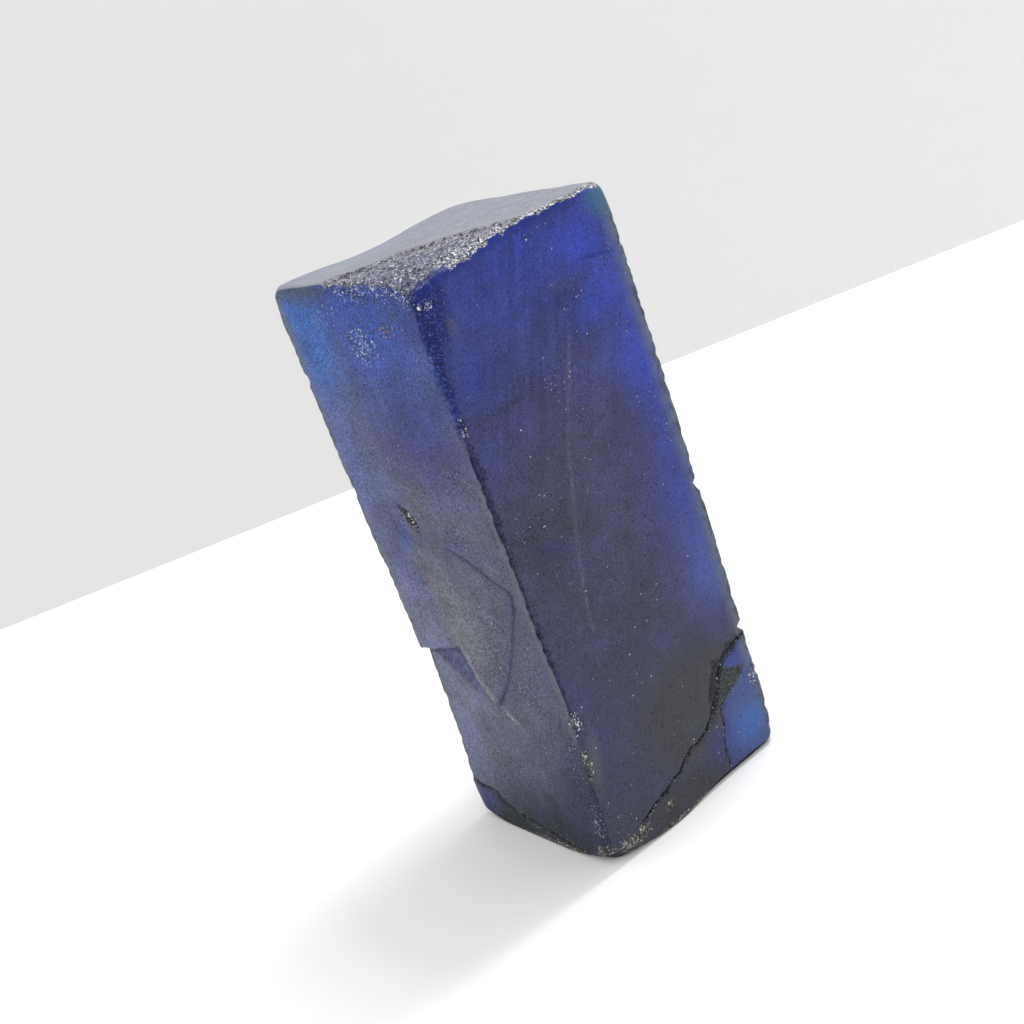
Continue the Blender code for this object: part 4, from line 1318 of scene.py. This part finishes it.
def lay_behind(ground):
    """The whole colour of the two sides behind and of the base."""
    x, y, z = ground.x, ground.y, ground.z
    # The painted blue flash, in clouds.
    clouds = cloud(sway(ground.place, *FLASH_SWAY), FLASH_CLOUD).step(0.42, 0.66)
    colour = tint(ground.flat(SLATE), COBALT, clouds * 0.9)
    pale = cloud(moved(ground.place, (40.0, 7.0, 3.0)), PALE_CLOUD).step(0.5, 0.75)
    colour = tint(colour, LAVENDER, pale * 0.45)
    colour = tint(colour, ULTRAMARINE, z.step(44.0, 62.0) * 0.8)
    colour = tint(colour, FOOT_SLATE, z.step(9.0, 1.0) * 0.7)
    corner = y.step(-6.0, -10.0) * z.step(15.0, 12.0) * x.step(8.0, 10.0)
    colour = tint(colour, DEEP_AZURE, corner * 0.9)
    # Painted shade: darker to coal at the foot, darkest on the base where the stone meets the table.
    colour = tint(colour, COAL, z.step(1.6, 0.6) * 0.9)
    colour = shaded(colour, 1 - z.step(0.9, 0.2) * 0.6)
    saw = streaks(sheet_spot(x + y, z), *BEHIND_SAW) - 0.5
    colour = shaded(colour, saw * 0.5 + 1.0)
    share = ground.clusters().step(0.35, 0.68) * 0.5 + 0.12
    colour = lay_specks(ground, colour, share, 1.0)
    colour = lay_rim_glow_and_wear(ground, colour, RIM_GREY, 0.22)
    gap, ends = route_gap(y, z, side_route)
    colour = lay_crack(ground, colour, gap, ends * x.step(10.0, 11.2), 0.12, 0.45)
    rim_gap = ground.mark("rim_gap")
    lip = (rim_gap + ground.ragged * 0.8).step(1.2, 0.3) * ground.grain.step(0.3, 0.5)
    return tint(colour, OLIVE_GREY, lip * 0.7)


for side, lay_colour in (("left", lay_left), ("right", lay_right), ("top", lay_top),
                         ("behind", lay_behind)):
    finish_side("blue_stone_" + side, lay_colour)
side_numbers = np.full(len(stone_mesh.polygons), 3)
corners = np.empty(len(stone_mesh.polygons) * 4, dtype=np.int32)
stone_mesh.polygons.foreach_get("vertices", corners)
for number, on_side in enumerate((on_left, on_right, on_top)):
    side_numbers[on_side[corners.reshape(-1, 4)].all(axis=1)] = number
stone_mesh.polygons.foreach_set("material_index", side_numbers)

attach(stone_piece, "root")
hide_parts("stone_block")

# The white table under the stone, and the pale wall behind it. Both are plain matt sheets,
# sized in metres.
TABLE_REACH = 0.9
TABLE_WHITE = (0.9, 0.9, 0.9, 1.0)
WALL_FOOT = (Vector((-0.0158, 0.1564, 0.0)), Vector((0.1750, 0.0627, 0.0)))
WALL_REACH = 0.9            # how far it runs to each side of the first place on its foot
WALL_RISE = 0.7
WALL_PALE = (0.67, 0.67, 0.665, 1.0)
MATT = 0.9


def plain_sheet(name, corners, colour):
    """A flat matt sheet through four corners."""
    sheet = bmesh.new()
    sheet.faces.new([sheet.verts.new(corner) for corner in corners])
    mesh = bpy.data.meshes.new(name)
    sheet.to_mesh(mesh)
    sheet.free()
    material, _, matt = new_material(name + "_finish")
    matt.inputs["Base Color"].default_value = colour
    matt.inputs["Roughness"].default_value = MATT
    mesh.materials.append(material)
    made = bpy.data.objects.new(name, mesh)
    bpy.context.collection.objects.link(made)


reach = TABLE_REACH
plain_sheet("table", [(-reach, -reach, 0.0), (reach, -reach, 0.0), (reach, reach, 0.0),
                      (-reach, reach, 0.0)], TABLE_WHITE)
wall_run = (WALL_FOOT[1] - WALL_FOOT[0]).normalized()
wall_start = WALL_FOOT[0] - wall_run * WALL_REACH
wall_end = WALL_FOOT[0] + wall_run * WALL_REACH
wall_rise = Vector((0.0, 0.0, WALL_RISE))
plain_sheet("wall", [wall_start, wall_end, wall_end + wall_rise, wall_start + wall_rise],
            WALL_PALE)

# Light: a wide soft lamp high on the right, and an even white room all round. The lamp's
# place and size are in metres.
LAMP_PLACE = (0.34, 0.02, 0.42)
LAMP_SIZE = (0.16, 0.5)
LAMP_WATTS = 4.75
ROOM_STRENGTH = 1.12

lamp_data = bpy.data.lights.new("lamp", "AREA")
lamp_data.shape = "RECTANGLE"
lamp_data.size = LAMP_SIZE[0]
lamp_data.size_y = LAMP_SIZE[1]
lamp_data.energy = LAMP_WATTS
lamp = bpy.data.objects.new("lamp", lamp_data)
lamp.location = LAMP_PLACE
lamp.rotation_euler = (-Vector(lamp.location)).to_track_quat("-Z", "Y").to_euler()
bpy.context.collection.objects.link(lamp)
room = bpy.data.worlds.new("room")
room.use_nodes = True
background = room.node_tree.nodes["Background"]
background.inputs["Color"].default_value = (1.0, 1.0, 1.0, 1.0)
background.inputs["Strength"].default_value = ROOM_STRENGTH
bpy.context.scene.world = room
bpy.context.scene.view_settings.view_transform = "Standard"

# The camera, above and left of the front arris, rolled so that the upright stone leans to
# the left in its frame.
CAMERA_PLACE = (-76.70, -116.83, 83.30)
CAMERA_TURN = -32.60
CAMERA_PITCH = 20.0
CAMERA_ROLL = -19.94
CAMERA_SENSOR = 36.0
CAMERA_LENS = 52.73

camera_data = bpy.data.cameras.new("camera")
camera_data.sensor_width = CAMERA_SENSOR
camera_data.lens = CAMERA_LENS
camera = bpy.data.objects.new("camera", camera_data)
aim = Euler((math.radians(90.0 - CAMERA_PITCH), 0.0, math.radians(CAMERA_TURN))).to_matrix()
aim = aim @ Matrix.Rotation(math.radians(CAMERA_ROLL), 3, "Z")
camera.matrix_world = Matrix.Translation(Vector(CAMERA_PLACE) * MM) @ aim.to_4x4()
bpy.context.collection.objects.link(camera)
bpy.context.scene.camera = camera
